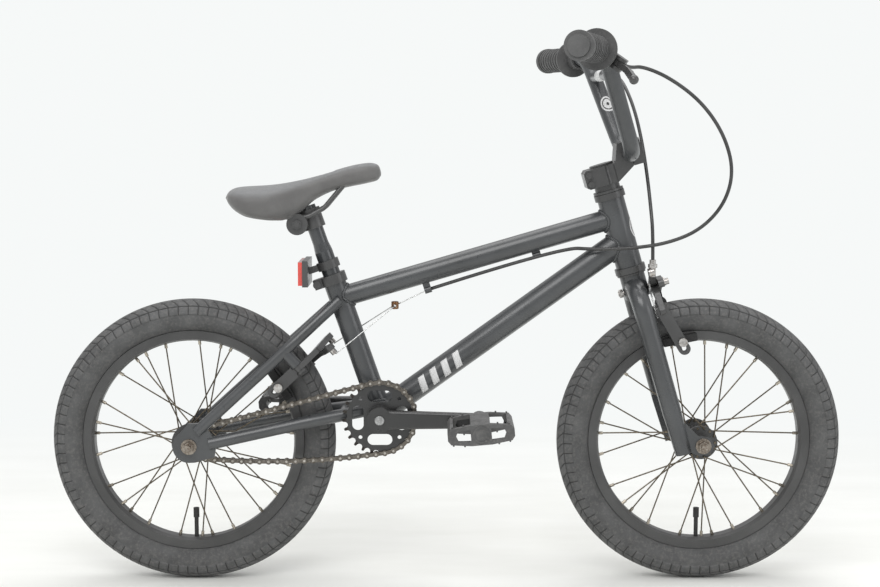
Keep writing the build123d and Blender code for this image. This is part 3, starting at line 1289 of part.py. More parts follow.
def seat():
    low = SEAT_TUBE_LENGTH - POST_INSERTED
    post = rod(on_seat(low), on_seat(POST_TAPER_AT), POST_R)
    post = post + cone(on_seat(POST_TAPER_AT), on_seat(POST_TAPER_AT + 12), POST_R, POST_TOP_R)
    post = post + rod(on_seat(POST_TAPER_AT + 12), on_seat(POST_TOP), POST_TOP_R)
    post = post - rod(on_seat(low), on_seat(POST_TOP - 2), POST_TOP_R - 2.2)
    write("seatpost", post)
    clamp_centre = on_seat(CLAMP_AT, CLAMP_BACK)
    barrel = rod(clamp_centre - Y_AXIS * 17, clamp_centre + Y_AXIS * 17, CLAMP_R)
    collar = rod(on_seat(CLAMP_AT - 14), on_seat(CLAMP_AT + 14), POST_TOP_R + 4.5)
    post_hole = rod(on_seat(low), on_seat(POST_TOP), POST_TOP_R)
    bolt_hole = rod(clamp_centre - Y_AXIS * 60, clamp_centre + Y_AXIS * 60, 4)
    pieces = [cut(barrel + collar, [post_hole, bolt_hole])]
    rail_at = clamp_centre + Vector(0, 0, RAIL_UP)
    rails = [rail(side, rail_at) for side in SIDES]
    for side in SIDES:
        out = Y_AXIS * side
        cheek = rod(clamp_centre + out * 17.5, clamp_centre + out * 28, CLAMP_R)
        pieces.append(cut(cheek, [bolt_hole] + rails))
    pieces.append(rod(clamp_centre - Y_AXIS * 34, clamp_centre + Y_AXIS * 34, 4))
    nuts = [hexagon(clamp_centre + Y_AXIS * s * 28, 7, 5, Y_AXIS * s) for s in SIDES]
    pieces += [nut - bolt_hole for nut in nuts]
    write("saddle_clamp", *pieces)
    write("saddle_rails", *rails)
    saddle(rails)
    reflector()


def rail(side, rail_at):
    out = Y_AXIS * side
    x0 = crank_centre.X - SADDLE_REAR_BEHIND
    points = [
        Vector(x0 + 30, 0, rail_at.Z + 34) + out * (RAIL_Y + 3),
        Vector(x0 + 44, 0, rail_at.Z) + out * RAIL_Y,
        Vector(rail_at.X + 14, 0, rail_at.Z) + out * RAIL_Y,
        Vector(rail_at.X + 38, 0, rail_at.Z + 13) + out * (RAIL_Y - 3),
        Vector(rail_at.X + 75, 0, rail_at.Z + 57) + out * 10,
    ]
    return bent(points, RAIL_R, [14, 22, 22])


def saddle(rails):
    """A padded saddle: side view and plan meet in one solid, hollow below for the rails."""
    x0, z0 = crank_centre.X - SADDLE_REAR_BEHIND, 521.0
    k = SADDLE_LENGTH / 217.0
    side_view = [
        (0, 30), (3, 38), (10, 43), (24, 45), (62, 47), (97, 53), (133, 62), (170, 73), (197, 78),
        (210, 76), (217, 66), (216, 55), (204, 51), (186, 47), (171, 44), (148, 38), (123, 25), (103, 7),
        (85, -5), (66, -7), (34, -2), (17, 7), (6, 19),
    ]
    body = plate([(x0 + x * k, z0 + z) for x, z in side_view], 2 * SADDLE_HALF_WIDTH, 0)
    half, nose = SADDLE_HALF_WIDTH, SADDLE_NOSE_HALF_WIDTH
    plan_half = [
        (0, 34), (6, 50), (20, 61), (42, half), (64, half - 4), (84, half - 20), (104, half - 34),
        (128, nose + 5), (160, nose + 1), (196, nose), (210, nose - 5), (217, nose - 13),
    ]
    points = [(x0 + x * k, y) for x, y in plan_half] + [(x0 + x * k, -y) for x, y in plan_half[::-1]]
    outline = make_face(Polyline(*[Vector(x, y, z0 - 20) for x, y in points], close=True))
    body = body & extrude(outline, amount=140)
    inner = [(x0 + 12 + (x - x0) * 0.86, y * 0.8) for x, y in points if x < x0 + 130 * k]
    pocket = make_face(Polyline(*[Vector(x, y, z0 - 20) for x, y in inner], close=True))
    body = body - extrude(pocket, amount=20 + 29)
    clamp_at = on_seat(CLAMP_AT, CLAMP_BACK)
    clamp_room = rod(clamp_at - Y_AXIS * 35, clamp_at + Y_AXIS * 35, CLAMP_R + 1)
    body = cut(body, rails + [clamp_room])
    body = max(body.solids(), key=lambda s: s.volume)
    write("saddle", body)


REFLECTOR_UP = 226.0
REFLECTOR_BACK = 32.0


def reflector():
    axis_plane = Plane(origin=crank_centre, x_dir=seat_back, z_dir=seat_up)
    collar = ring_solid(axis_plane, POST_R + 3.5, POST_R, REFLECTOR_UP - 6, REFLECTOR_UP + 6)
    arm_start = on_seat(REFLECTOR_UP, POST_R + 2)
    body_at = on_seat(REFLECTOR_UP, REFLECTOR_BACK)
    arm = Plane(origin=(arm_start + body_at) * 0.5, x_dir=body_at - arm_start, z_dir=Y_AXIS) * Box(
        (body_at - arm_start).length, 9, 10
    )
    shell = Plane(body_at) * Box(8, 78, 37)
    bracket = collar + arm + shell - rod(on_seat(150), on_seat(300), POST_R)
    lens = Plane(body_at + Vector(-7, 0, 0)) * Box(6, 74, 33)
    write("reflector_bracket", bracket)
    write("reflector", lens)


def main():
    frame_tubes()
    rear_end()
    bearings()
    wheels()
    cog_turn, ring_turn = chain()
    drive(cog_turn, ring_turn)
    cranks_and_pedals()
    fork()
    headset_top()
    stem()
    handlebar()
    grips()
    levers()
    socket = brakes()
    cables(socket)
    seat_clamp()
    seat()


main()
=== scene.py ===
"""A small-wheeled BMX bike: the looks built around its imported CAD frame.

Metres, in the frame's own axes: +X forward, +Y to the rider's left, +Z up.
"""

import math

import bmesh
import bpy
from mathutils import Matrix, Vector


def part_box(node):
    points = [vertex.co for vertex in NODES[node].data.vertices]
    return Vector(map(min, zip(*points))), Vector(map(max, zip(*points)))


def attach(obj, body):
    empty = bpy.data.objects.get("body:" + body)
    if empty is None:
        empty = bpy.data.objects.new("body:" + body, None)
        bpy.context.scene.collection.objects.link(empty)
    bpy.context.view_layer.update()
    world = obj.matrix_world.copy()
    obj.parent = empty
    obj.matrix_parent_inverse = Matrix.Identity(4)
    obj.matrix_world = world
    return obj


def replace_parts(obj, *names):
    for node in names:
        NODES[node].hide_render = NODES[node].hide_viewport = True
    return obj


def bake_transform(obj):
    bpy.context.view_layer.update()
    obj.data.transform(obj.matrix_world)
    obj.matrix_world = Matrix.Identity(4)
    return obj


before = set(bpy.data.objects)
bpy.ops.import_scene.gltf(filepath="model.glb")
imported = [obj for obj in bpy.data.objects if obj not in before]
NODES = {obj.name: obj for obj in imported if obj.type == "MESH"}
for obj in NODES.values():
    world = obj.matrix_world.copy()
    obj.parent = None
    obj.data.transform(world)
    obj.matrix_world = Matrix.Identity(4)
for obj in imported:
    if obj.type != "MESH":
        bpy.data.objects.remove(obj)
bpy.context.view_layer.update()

RIGHT, LEFT = -1, 1
SIDES = ((RIGHT, "right"), (LEFT, "left"))
Y_AXIS = Vector((0, 1, 0))
HALF_WHEELBASE = 0.3618
WHEEL_R = 0.203
FRONT_AXLE = Vector((HALF_WHEELBASE, 0, WHEEL_R))
REAR_AXLE = Vector((-HALF_WHEELBASE, 0, WHEEL_R))
FORWARD = Vector((0.95980529, 0, 0.28066671))
UPWARD = Vector((-0.28066671, 0, 0.95980529))
STEER_FOOT = FRONT_AXLE - FORWARD * 0.027
CRANK = Vector((-0.093814, 0, 0.2415))
SEAT_UP = Vector((-0.32886665, 0, 0.94437637))
SEAT_BACK = Vector((-0.94437637, 0, -0.32886665))


def steer(f, y, s):
    """A point in the steering frame, in millimetres forward, left and up the axis."""
    return STEER_FOOT + FORWARD * f / 1000 + UPWARD * s / 1000 + Y_AXIS * y / 1000


def seat_line(d, back=0.0, y=0.0):
    """A point d up the seat tube from the cranks, in millimetres."""
    return CRANK + SEAT_UP * d / 1000 + SEAT_BACK * back / 1000 + Y_AXIS * y / 1000


# ------------------------------------------------------------------ materials
class Look:
    """A procedural material: colour, roughness and relief driven by noise in the part's own space."""

    def __init__(self, name, rough, metal=0.0, coat=0.0, coat_rough=0.1, sheen=0.0):
        self.mat = bpy.data.materials.new(name)
        self.mat.use_nodes = True
        self.tree = self.mat.node_tree
        self.shader = self.tree.nodes["Principled BSDF"]
        values = {
            "Roughness": rough, "Metallic": metal, "Coat Weight": coat,
            "Coat Roughness": coat_rough, "Sheen Weight": sheen,
        }
        for socket, value in values.items():
            self.shader.inputs[socket].default_value = value
        coordinates = self.node("ShaderNodeTexCoord")
        self.place = coordinates.outputs["Object"]
        self.normal = None

    def node(self, kind, **settings):
        made = self.tree.nodes.new(kind)
        for key, value in settings.items():
            setattr(made, key, value)
        return made

    def join(self, out, into):
        self.tree.links.new(out, into)
        return self

    def noise(self, scale, detail=3.0, rough=0.55, stretch=None):
        where = self.place
        if stretch:
            mapping = self.node("ShaderNodeMapping")
            mapping.inputs["Scale"].default_value = stretch
            self.join(where, mapping.inputs["Vector"])
            where = mapping.outputs["Vector"]
        made = self.node("ShaderNodeTexNoise")
        made.inputs["Scale"].default_value = scale
        made.inputs["Detail"].default_value = detail
        made.inputs["Roughness"].default_value = rough
        self.join(where, made.inputs["Vector"])
        return made.outputs["Fac"]

    def ramp(self, factor, stops):
        made = self.node("ShaderNodeValToRGB")
        elements = made.color_ramp.elements
        while len(elements) < len(stops):
            elements.new(0.5)
        for element, (place, colour) in zip(elements, stops):
            element.position = place
            element.color = (*colour, 1)
        self.join(factor, made.inputs["Fac"])
        return made.outputs["Color"]

    def colour(self, scale, dark, light, low=0.35, high=0.65, **noise):
        self.base = self.ramp(self.noise(scale, **noise), [(low, dark), (high, light)])
        self.join(self.base, self.shader.inputs["Base Color"])
        return self

    def over(self, factor, colour):
        """Lays a second colour over the first where the factor is high."""
        mix = self.node("ShaderNodeMix", data_type="RGBA")
        self.join(factor, mix.inputs["Factor"]).join(self.base, mix.inputs["A"])
        mix.inputs["B"].default_value = (*colour, 1)
        self.base = mix.outputs["Result"]
        self.join(self.base, self.shader.inputs["Base Color"])
        return self

    def span(self, factor, low, high, start=0.3, end=0.7):
        made = self.node("ShaderNodeMapRange")
        for socket, value in zip(("From Min", "From Max", "To Min", "To Max"), (start, end, low, high)):
            made.inputs[socket].default_value = value
        self.join(factor, made.inputs["Value"])
        return made.outputs["Result"]

    def roughness(self, scale, low, high, **noise):
        self.join(self.span(self.noise(scale, **noise), low, high), self.shader.inputs["Roughness"])
        return self

    def relief(self, height, strength, depth):
        made = self.node("ShaderNodeBump")
        made.inputs["Strength"].default_value = strength
        made.inputs["Distance"].default_value = depth
        self.join(height, made.inputs["Height"])
        if self.normal:
            self.join(self.normal, made.inputs["Normal"])
        self.normal = made.outputs["Normal"]
        self.join(self.normal, self.shader.inputs["Normal"])
        return self

    def rounded(self, radius):
        made = self.node("ShaderNodeBevel", samples=4)
        made.inputs["Radius"].default_value = radius
        self.normal = made.outputs["Normal"]
        self.join(self.normal, self.shader.inputs["Normal"])
        return self

    def top_light_mask(self, low, high):
        """High where the surface looks up, for painted top light: a lighter, cooler grey where the light
        falls from above.
        """
        geometry = self.node("ShaderNodeNewGeometry")
        split = self.node("ShaderNodeSeparateXYZ")
        self.join(geometry.outputs["Normal"], split.inputs["Vector"])
        return self.span(split.outputs["Z"], 0.0, 1.0, low, high)


def grey(value, warm=0.0):
    return (value * (1 + warm), value, value * (1 - warm))


def painted(name, value, rough, warm=0.0, bevel=0.0006, coat=0.35):
    """Satin black paint: slight orange peel, cloudy sheen, dusty freckles."""
    look = Look(name, rough, coat=coat, coat_rough=0.22)
    look.rounded(bevel)
    look.colour(14, grey(value * 0.82, warm), grey(value * 1.2, warm), detail=5)
    dust = look.noise(900, detail=2)
    look.over(look.span(dust, 0.0, 0.55, 0.7, 0.78), grey(value * 4 + 0.02, 0.04))
    look.roughness(60, rough - 0.05, rough + 0.08)
    look.relief(look.noise(1400, detail=2), 0.05, 0.0004)
    return look.mat


def metal(name, dark, light, rough, grain=0.1, spots=None):
    """Worn bare or plated metal: grain, cloudy tarnish and optional rust spots."""
    look = Look(name, rough, metal=1.0)
    look.rounded(0.0003)
    look.colour(300, dark, light, detail=6)
    if spots:
        place, amount = spots
        look.over(look.span(look.noise(420, detail=6), 0.0, amount, 0.5, 0.62), place)
    look.roughness(700, rough - 0.1, rough + 0.14, detail=4)
    look.relief(look.noise(1600, detail=2), grain, 0.0003)
    return look.mat


def rubber(name, value, rough, grain=0.25, warm=0.0, dusty=0.5, shade_grooves=False):
    """Matt rubber or moulded plastic: fine grain, bloom and dust on top."""
    look = Look(name, rough)
    look.colour(35, grey(value * 0.8, warm), grey(value * 1.2, warm), detail=6)
    dust = look.noise(240, detail=8, rough=0.7)
    look.over(look.span(dust, 0.0, dusty, 0.48, 0.72), grey(value * 1.9 + 0.015, 0.05))
    # Painted shade: darker in the tread's grooves, by their depth, and a little darker on the outer
    # sidewalls.
    if shade_grooves:
        groove_shade = look.node("ShaderNodeAttribute", attribute_name="groove_shade")
        look.over(look.span(groove_shade.outputs["Fac"], 0.0, 0.85, 0.15, 0.9), grey(value * 0.25))
    look.roughness(90, rough - 0.08, rough + 0.08)
    look.relief(look.noise(1500, detail=3), grain, 0.0005)
    return look.mat


PAINT = painted("frame_paint", 0.056, 0.30, warm=-0.05, coat=0.5)
BAR_PAINT = painted("bar_paint", 0.060, 0.33, warm=-0.05)
POST_PAINT = painted("post_paint", 0.040, 0.2, warm=-0.08, bevel=0.0004, coat=0.7)
PARTS_BLACK = painted("parts_black", 0.056, 0.36)
ALLOY_BLACK = painted("alloy_black", 0.060, 0.38, coat=0.1)
CRANK_BLACK = painted("crank_black", 0.024, 0.30)
TOOTH_STEEL = metal("ring_steel", (0.035, 0.032, 0.03), (0.09, 0.08, 0.072), 0.42)
CHAIN_PLATE = metal(
    "chain_plate", (0.11, 0.10, 0.088), (0.23, 0.21, 0.185), 0.36, spots=((0.10, 0.08, 0.06), 0.35)
)
CHAIN_PIN = metal("chain_pin", (0.32, 0.30, 0.27), (0.55, 0.52, 0.48), 0.3)
SPOKE_WIRE = metal("spoke_wire", (0.09, 0.075, 0.055), (0.2, 0.17, 0.13), 0.34)
NIPPLE_BRASS = metal("nipple_plating", (0.35, 0.32, 0.27), (0.55, 0.5, 0.42), 0.3)
PLATED = metal(
    "plated_steel", (0.36, 0.35, 0.34), (0.62, 0.6, 0.58), 0.27, spots=((0.2, 0.13, 0.08), 0.35)
)
RUSTY = metal(
    "tarnished_steel", (0.20, 0.17, 0.145), (0.42, 0.38, 0.33), 0.38, spots=((0.15, 0.10, 0.07), 0.6)
)
COPPERY = metal(
    "tarnished_spring", (0.2, 0.1, 0.05), (0.42, 0.24, 0.13), 0.4, spots=((0.16, 0.07, 0.03), 0.8)
)
POLISHED = metal("polished_steel", (0.55, 0.55, 0.55), (0.75, 0.75, 0.74), 0.18, grain=0.04)
RACE_STEEL = metal("race_steel", (0.3, 0.3, 0.3), (0.5, 0.5, 0.5), 0.25)
TYRE = rubber("tyre_rubber", 0.088, 0.68, grain=0.3, warm=-0.01, dusty=0.6, shade_grooves=True)
TUBE = rubber("tube_rubber", 0.02, 0.6, grain=0.1)
GRIP = rubber("grip_rubber", 0.088, 0.55, grain=0.2, dusty=0.2)
PLUG = rubber("plug_plastic", 0.055, 0.35, grain=0.1, dusty=0.1)
PAD = rubber("pad_rubber", 0.018, 0.65)
PEDAL = rubber("pedal_plastic", 0.088, 0.45, grain=0.35, dusty=0.6)
HOUSING = rubber("cable_housing", 0.045, 0.3, grain=0.03, dusty=0.12)
CAP_BLACK = rubber("valve_cap", 0.012, 0.4, grain=0.1, dusty=0.1)


def saddle_look():
    look = Look("saddle_cover", 0.40, sheen=0.25)
    look.colour(30, grey(0.104, 0.02), grey(0.136, 0.02), detail=5)
    # Painted top light: the upward faces of the saddle take a lighter, cooler grey.
    look.over(look.top_light_mask(0.45, 1.0), grey(0.130, -0.03))
    look.roughness(120, 0.36, 0.5)
    cells = look.node("ShaderNodeTexVoronoi", feature="DISTANCE_TO_EDGE")
    cells.inputs["Scale"].default_value = 1100
    look.join(look.place, cells.inputs["Vector"])
    look.relief(look.span(cells.outputs["Distance"], 0.0, 1.0, 0.0, 0.18), 0.22, 0.0004)
    look.relief(look.noise(260, detail=4), 0.12, 0.0006)
    return look.mat


def reflector_look():
    """A red moulded lens with rows of small prisms behind a clear face."""
    look = Look("reflector_red", 0.16, coat=0.8, coat_rough=0.05)
    look.colour(40, (0.55, 0.014, 0.012), (0.75, 0.035, 0.025))
    cells = look.node("ShaderNodeTexVoronoi", feature="F1", distance="CHEBYCHEV")
    cells.inputs["Scale"].default_value = 420
    cells.inputs["Randomness"].default_value = 0.0
    look.join(look.place, cells.inputs["Vector"])
    look.over(look.span(cells.outputs["Distance"], 0.0, 0.5, 0.25, 0.6), (0.85, 0.16, 0.11))
    look.relief(cells.outputs["Distance"], 0.4, 0.0006)
    return look.mat


def printed(name, light):
    """Pale print that has worn a little: specks of the paint show through."""
    look = Look(name, 0.4)
    look.colour(60, grey(light * 0.9), grey(light))
    look.over(look.span(look.noise(700, detail=6), 0.0, 1.0, 0.66, 0.7), grey(0.04))
    look.relief(look.noise(1400), 0.05, 0.0003)
    return look.mat


SADDLE = saddle_look()
LENS = reflector_look()
PALE_PRINT = printed("pale_print", 0.72)
DARK_PRINT = printed("dark_print", 0.03)


def islands(mesh):
    """Faces grouped by the solid that they belong to."""
    parent = list(range(len(mesh.vertices)))
    keys = {}
    for i, v in enumerate(mesh.vertices):
        key = tuple(round(c, 6) for c in v.co)
        parent[i] = keys.setdefault(key, i)

    def root(i):
        while parent[i] != i:
            parent[i] = parent[parent[i]]
            i = parent[i]
        return i

    for polygon in mesh.polygons:
        first = root(polygon.vertices[0])
        for v in polygon.vertices[1:]:
            parent[root(v)] = first
    groups = {}
    for polygon in mesh.polygons:
        groups.setdefault(root(polygon.vertices[0]), []).append(polygon)
    return list(groups.values())


def dress(name, *materials, choose=None, by_solid=None):
    """Gives a CAD node its materials. choose picks one per face, by_solid one per solid."""
    node = NODES[name]
    mesh = node.data
    mesh.materials.clear()
    for mat in materials:
        mesh.materials.append(mat)
    for polygon in mesh.polygons:
        polygon.material_index = choose(polygon) if choose else 0
    if by_solid:
        for faces in islands(mesh):
            points = [mesh.vertices[v].co for f in faces for v in f.vertices]
            low = Vector([min(p[i] for p in points) for i in range(3)])
            high = Vector([max(p[i] for p in points) for i in range(3)])
            index = by_solid(low, high)
            for f in faces:
                f.material_index = index
    return node


def longest(low, high):
    return max(high - low)


TOOTH_ROOT_R = 0.0475
CHAIN_LINE_Y = -0.0445
PIN_HEAD_OUT = 0.0041
NIPPLE_SIZE = 0.03
VALVE_CAP_SIZE = 0.05
PLUG_SIZE = 0.045
CLAMP_BOLT_WIDE = 0.016
ARM_SIZE = 0.06
PAD_SIZE = 0.03
ADJUSTER_TALL = 0.024
ADJUSTER_INNER_Y = -0.029


for name in ("head_tube", "top_tube", "down_tube", "seat_tube", "bottom_bracket_shell", "chain_stays",
             "seat_stays", "rear_dropouts", "fork_legs", "fork_steerer"):
    dress(name, PAINT)
dress("handlebar", BAR_PAINT)
for name in ("stem", "stem_clamp", "headset_spacers", "reflector_bracket"):
    dress(name, PARTS_BLACK)
dress("seatpost", POST_PAINT)
dress("bearing_cups", PARTS_BLACK)
dress("bearing_balls", RACE_STEEL)
dress("crank_spindle", RACE_STEEL)
dress("freewheel_cog", TOOTH_STEEL)
dress("chainring", CRANK_BLACK, TOOTH_STEEL,
      choose=lambda f: int(math.hypot(f.center.x - CRANK.x, f.center.z - CRANK.z) > TOOTH_ROOT_R))
for name in ("right_crank_arm", "left_crank_arm"):
    dress(name, CRANK_BLACK)
for _, name in SIDES:
    dress(name + "_brake_lever", PARTS_BLACK)
dress("pedal_axles", PLATED)
dress("lever_brackets", PARTS_BLACK)
for end in ("front", "rear"):
    dress(end + "_rim", ALLOY_BLACK)
    dress(end + "_hub", ALLOY_BLACK)
    dress(end + "_axle", RUSTY)
    dress(end + "_axle_nuts", RUSTY)
    dress(end + "_spokes", SPOKE_WIRE, NIPPLE_BRASS,
          by_solid=lambda lo, hi: int(longest(lo, hi) < NIPPLE_SIZE))
    dress(end + "_inner_tube", TUBE, CAP_BLACK,
          by_solid=lambda lo, hi: int(longest(lo, hi) < VALVE_CAP_SIZE))
dress("grips", GRIP, PLUG, by_solid=lambda lo, hi: int(longest(lo, hi) < PLUG_SIZE))
dress("seat_clamp", PARTS_BLACK, NIPPLE_BRASS, by_solid=lambda lo, hi: int(hi.x - lo.x < CLAMP_BOLT_WIDE))
dress("stem_bolts", PARTS_BLACK)
dress("front_brake_bolt", PLATED)
dress("rear_brake_bolts", PARTS_BLACK)
dress("chain", CHAIN_PLATE, CHAIN_PIN,
      choose=lambda f: int(abs(f.center.y - CHAIN_LINE_Y) > PIN_HEAD_OUT))
dress("saddle_rails", PARTS_BLACK)
dress("saddle_clamp", PARTS_BLACK)
dress("reflector", LENS)


def arm_part(low, high):
    """Which solid of a brake arm this is: 0 the arm, 1 the pad, 2 a bright bolt."""
    size = longest(low, high)
    if size > ARM_SIZE:
        return 0
    return 1 if size > PAD_SIZE else 2


for name in ("front_right", "front_left", "rear_right", "rear_left"):
    dress(name + "_brake_arm", PARTS_BLACK, PAD, PLATED, by_solid=arm_part)
ADJUSTER = NODES["front_right_brake_arm"].data
adjuster_top = max(ADJUSTER.vertices, key=lambda v: v.co.z).co.z
for polygon in ADJUSTER.polygons:
    if polygon.center.z > adjuster_top - ADJUSTER_TALL and polygon.center.y < ADJUSTER_INNER_Y:
        polygon.material_index = 2


# ---------------------------------------------------------------- mesh helpers
def mesh_object(name, vertices, faces, mat, smooth=True):
    mesh = bpy.data.meshes.new(name)
    mesh.from_pydata([tuple(v) for v in vertices], [], faces)
    mesh.update()
    if smooth:
        mesh.shade_smooth()
    mesh.materials.append(mat)
    made = bpy.data.objects.new(name, mesh)
    bpy.context.scene.collection.objects.link(made)
    return made


def grid_faces(rows, columns, close_rows=False, close_columns=False):
    faces = []
    for i in range(rows if close_rows else rows - 1):
        for j in range(columns if close_columns else columns - 1):
            a, b = i * columns, ((i + 1) % rows) * columns
            k = (j + 1) % columns
            faces.append((a + j, b + j, b + k, a + k))
    return faces


def sides_of(way):
    across = way.cross(Vector((0, 0, 1)))
    if across.length < 0.01:
        across = way.cross(Vector((1, 0, 0)))
    across.normalize()
    return across, way.cross(across).normalized()


def tube(name, path, radius, mat, around=12, body=None):
    """A closed round tube along a path."""
    vertices, across = [], None
    count = len(path)
    for i, point in enumerate(path):
        way = (path[min(i + 1, count - 1)] - path[max(i - 1, 0)]).normalized()
        if across is None:
            across, _ = sides_of(way)
        across = (across - way * across.dot(way)).normalized()
        up = way.cross(across)
        for j in range(around):
            a = math.tau * j / around
            vertices.append(point + (across * math.cos(a) + up * math.sin(a)) * radius)
    faces = grid_faces(count, around, close_columns=True)
    faces.append(tuple(range(around)))
    faces.append(tuple(reversed(range((count - 1) * around, count * around))))
    made = mesh_object(name, vertices, faces, mat)
    tidy_normals(made)
    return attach(made, body) if body else made


def tidy_normals(made):
    work = bmesh.new()
    work.from_mesh(made.data)
    bmesh.ops.recalc_face_normals(work, faces=work.faces)
    work.to_mesh(made.data)
    work.free()


def dense(path, gap):
    """The same path with no two points more than gap apart."""
    out = [path[0]]
    for a, b in zip(path, path[1:]):
        count = max(1, math.ceil((b - a).length / gap))
        out += [a.lerp(b, k / count) for k in range(1, count + 1)]
    return out


def lathe(name, centre, axis, profile, mat, count=96, body=None):
    """A profile of (along, radius) turned round an axis; open profiles close on the axis."""
    across, up = sides_of(axis)
    vertices = []
    for k in range(count):
        a = math.tau * k / count
        out = across * math.cos(a) + up * math.sin(a)
        vertices += [centre + axis * s + out * r for s, r in profile]
    made = mesh_object(name, vertices, grid_faces(count, len(profile), close_rows=True), mat)
    work = bmesh.new()
    work.from_mesh(made.data)
    bmesh.ops.remove_doubles(work, verts=work.verts, dist=1e-6)
    bmesh.ops.holes_fill(work, edges=[e for e in work.edges if e.is_boundary], sides=0)
    bmesh.ops.recalc_face_normals(work, faces=work.faces)
    work.to_mesh(made.data)
    work.free()
    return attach(made, body) if body else made


# ------------------------------------------------------------------------ tyres
TYRE_R = 0.025
TYRE_MID_R = WHEEL_R - TYRE_R
BEAD_ANGLE = math.radians(146)
TREAD_EDGE = math.radians(79)
TREAD_PITCHES = 84
GROOVE_DEPTH = 0.0017


def smooth_step(x, low, high):
    t = min(1.0, max(0.0, (x - low) / (high - low)))
    return t * t * (3 - 2 * t)


def groove(distance, half_width, soft=0.0005):
    """1 in the middle of a groove, falling to 0 at its edges."""
    return 1 - smooth_step(distance, half_width - soft, half_width + soft)


def tread_relief(turn, lean):
    """How far the surface stands below the crown at a place round the wheel and across the tread."""
    side = 1 if lean > 0 else -1
    a = abs(lean)
    pitch = math.tau * WHEEL_R / TREAD_PITCHES
    along = turn * WHEEL_R + side * pitch * 0.25
    cross = a * TYRE_R
    edge = smooth_step(a, TREAD_EDGE - 0.03, TREAD_EDGE + 0.03)
    shoulder = smooth_step(a, math.radians(50), math.radians(51))
    depth = 0.0
    phase = (along / pitch) % 1.0
    lateral = abs(phase - 0.5) * pitch
    depth = max(depth, shoulder * groove(pitch / 2 - lateral, 0.0010))
    ring = abs(a - math.radians(49)) * TYRE_R
    depth = max(depth, 0.85 * groove(ring, 0.0008))
    slant = ((along + cross * 0.75) / pitch) % 1.0
    slanted = abs(slant - 0.5) * pitch
    middle = 1 - smooth_step(a, math.radians(48), math.radians(49))
    depth = max(depth, middle * groove(pitch / 2 - slanted, 0.0008) * smooth_step(a, 0.10, 0.16))
    ring = abs(a - math.radians(24)) * TYRE_R
    depth = max(depth, 0.8 * groove(ring, 0.0006) * (0.5 + 0.5 * math.cos(math.tau * slant)))
    centre = groove(abs(a) * TYRE_R, 0.0007)
    depth = max(depth, 0.6 * centre)
    return GROOVE_DEPTH * (depth * (1 - edge) + edge * 0.95)


def tyre(name, centre, body):
    """The tyre's outside, with its block tread and ribbed sidewall, and its inside wall."""
    round_count = TREAD_PITCHES * 12
    leans = []
    lean = 0.0
    while lean < BEAD_ANGLE:
        leans.append(lean)
        lean += math.radians(1.6) if lean < TREAD_EDGE + 0.05 else math.radians(3.2)
    leans.append(BEAD_ANGLE)
    outer = [-a for a in reversed(leans[1:])] + leans
    inner_r = TYRE_R - 0.0032
    inner = [BEAD_ANGLE - k * BEAD_ANGLE / 8 for k in range(17)]
    vertices, darkening_amounts = [], []
    for i in range(round_count):
        turn = math.tau * i / round_count
        out = Vector((math.cos(turn), 0, math.sin(turn)))
        for a in outer:
            depth = tread_relief(turn, a)
            # How much darker each point is painted: painted shade by groove depth in the tread, a little
            # on the outer sidewall, none inside.
            darkening_amounts.append(depth / GROOVE_DEPTH if abs(a) < TREAD_EDGE else 0.25)
            r = TYRE_R - depth
            if abs(a) > TREAD_EDGE + 0.2:
                r += 0.00022 * math.cos(abs(a) * 46)
            vertices.append(centre + out * (TYRE_MID_R + r * math.cos(a)) + Y_AXIS * r * math.sin(a))
        for a in inner:
            r = inner_r
            darkening_amounts.append(0.0)
            vertices.append(centre + out * (TYRE_MID_R + r * math.cos(a)) + Y_AXIS * r * math.sin(a))
    faces = grid_faces(round_count, len(outer) + len(inner), close_rows=True, close_columns=True)
    made = mesh_object(name, vertices, faces, TYRE)
    groove_shade = made.data.attributes.new("groove_shade", "FLOAT", "POINT")
    groove_shade.data.foreach_set("value", darkening_amounts)
    tidy_normals(made)
    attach(made, body)
    return made


for end, centre in (("front", FRONT_AXLE), ("rear", REAR_AXLE)):
    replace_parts(tyre(end + "_tyre_tread", centre, end + "_wheel"), end + "_tyre")

# ----------------------------------------------------------------------- saddle
SADDLE_X, SADDLE_Z = -0.309, 0.521
SADDLE_TOP = [
    (0, 31), (3, 38), (10, 42.5), (24, 44.5), (62, 47), (97, 53), (133, 62), (170, 73), (197, 78),
    (210, 76.5), (214.5, 72), (216.5, 65),
]
SADDLE_LOW = [
    (0, 29), (6, 18), (17, 7), (34, -2), (66, -7), (85, -5), (103, 7), (123, 25), (148, 38),
    (171, 44), (186, 47), (204, 51), (212, 54), (216.5, 60),
]
SADDLE_WIDE = [
    (0, 30), (6, 48), (20, 60), (42, 66), (64, 62), (84, 47), (104, 33), (128, 24), (160, 20.5),
    (196, 19), (208, 15.5), (214, 10), (216.5, 5),
]


def along_curve(points, x):
    """A smooth reading of a table of points."""
    for k in range(len(points) - 1):
        if x <= points[k + 1][0] or k == len(points) - 2:
            break
    x0, x1 = points[k][0], points[k + 1][0]
    before, after = points[max(k - 1, 0)], points[min(k + 2, len(points) - 1)]
    y0, y1 = points[k][1], points[k + 1][1]
    m0 = (y1 - before[1]) / (x1 - before[0]) * (x1 - x0)
    m1 = (after[1] - y0) / (after[0] - x0) * (x1 - x0)
    t = min(1.0, max(0.0, (x - x0) / (x1 - x0)))
    a, b = 2 * t**3 - 3 * t**2 + 1, t**3 - 2 * t**2 + t
    return a * y0 + b * m0 + (3 * t**2 - 2 * t**3) * y1 + (t**3 - t**2) * m1


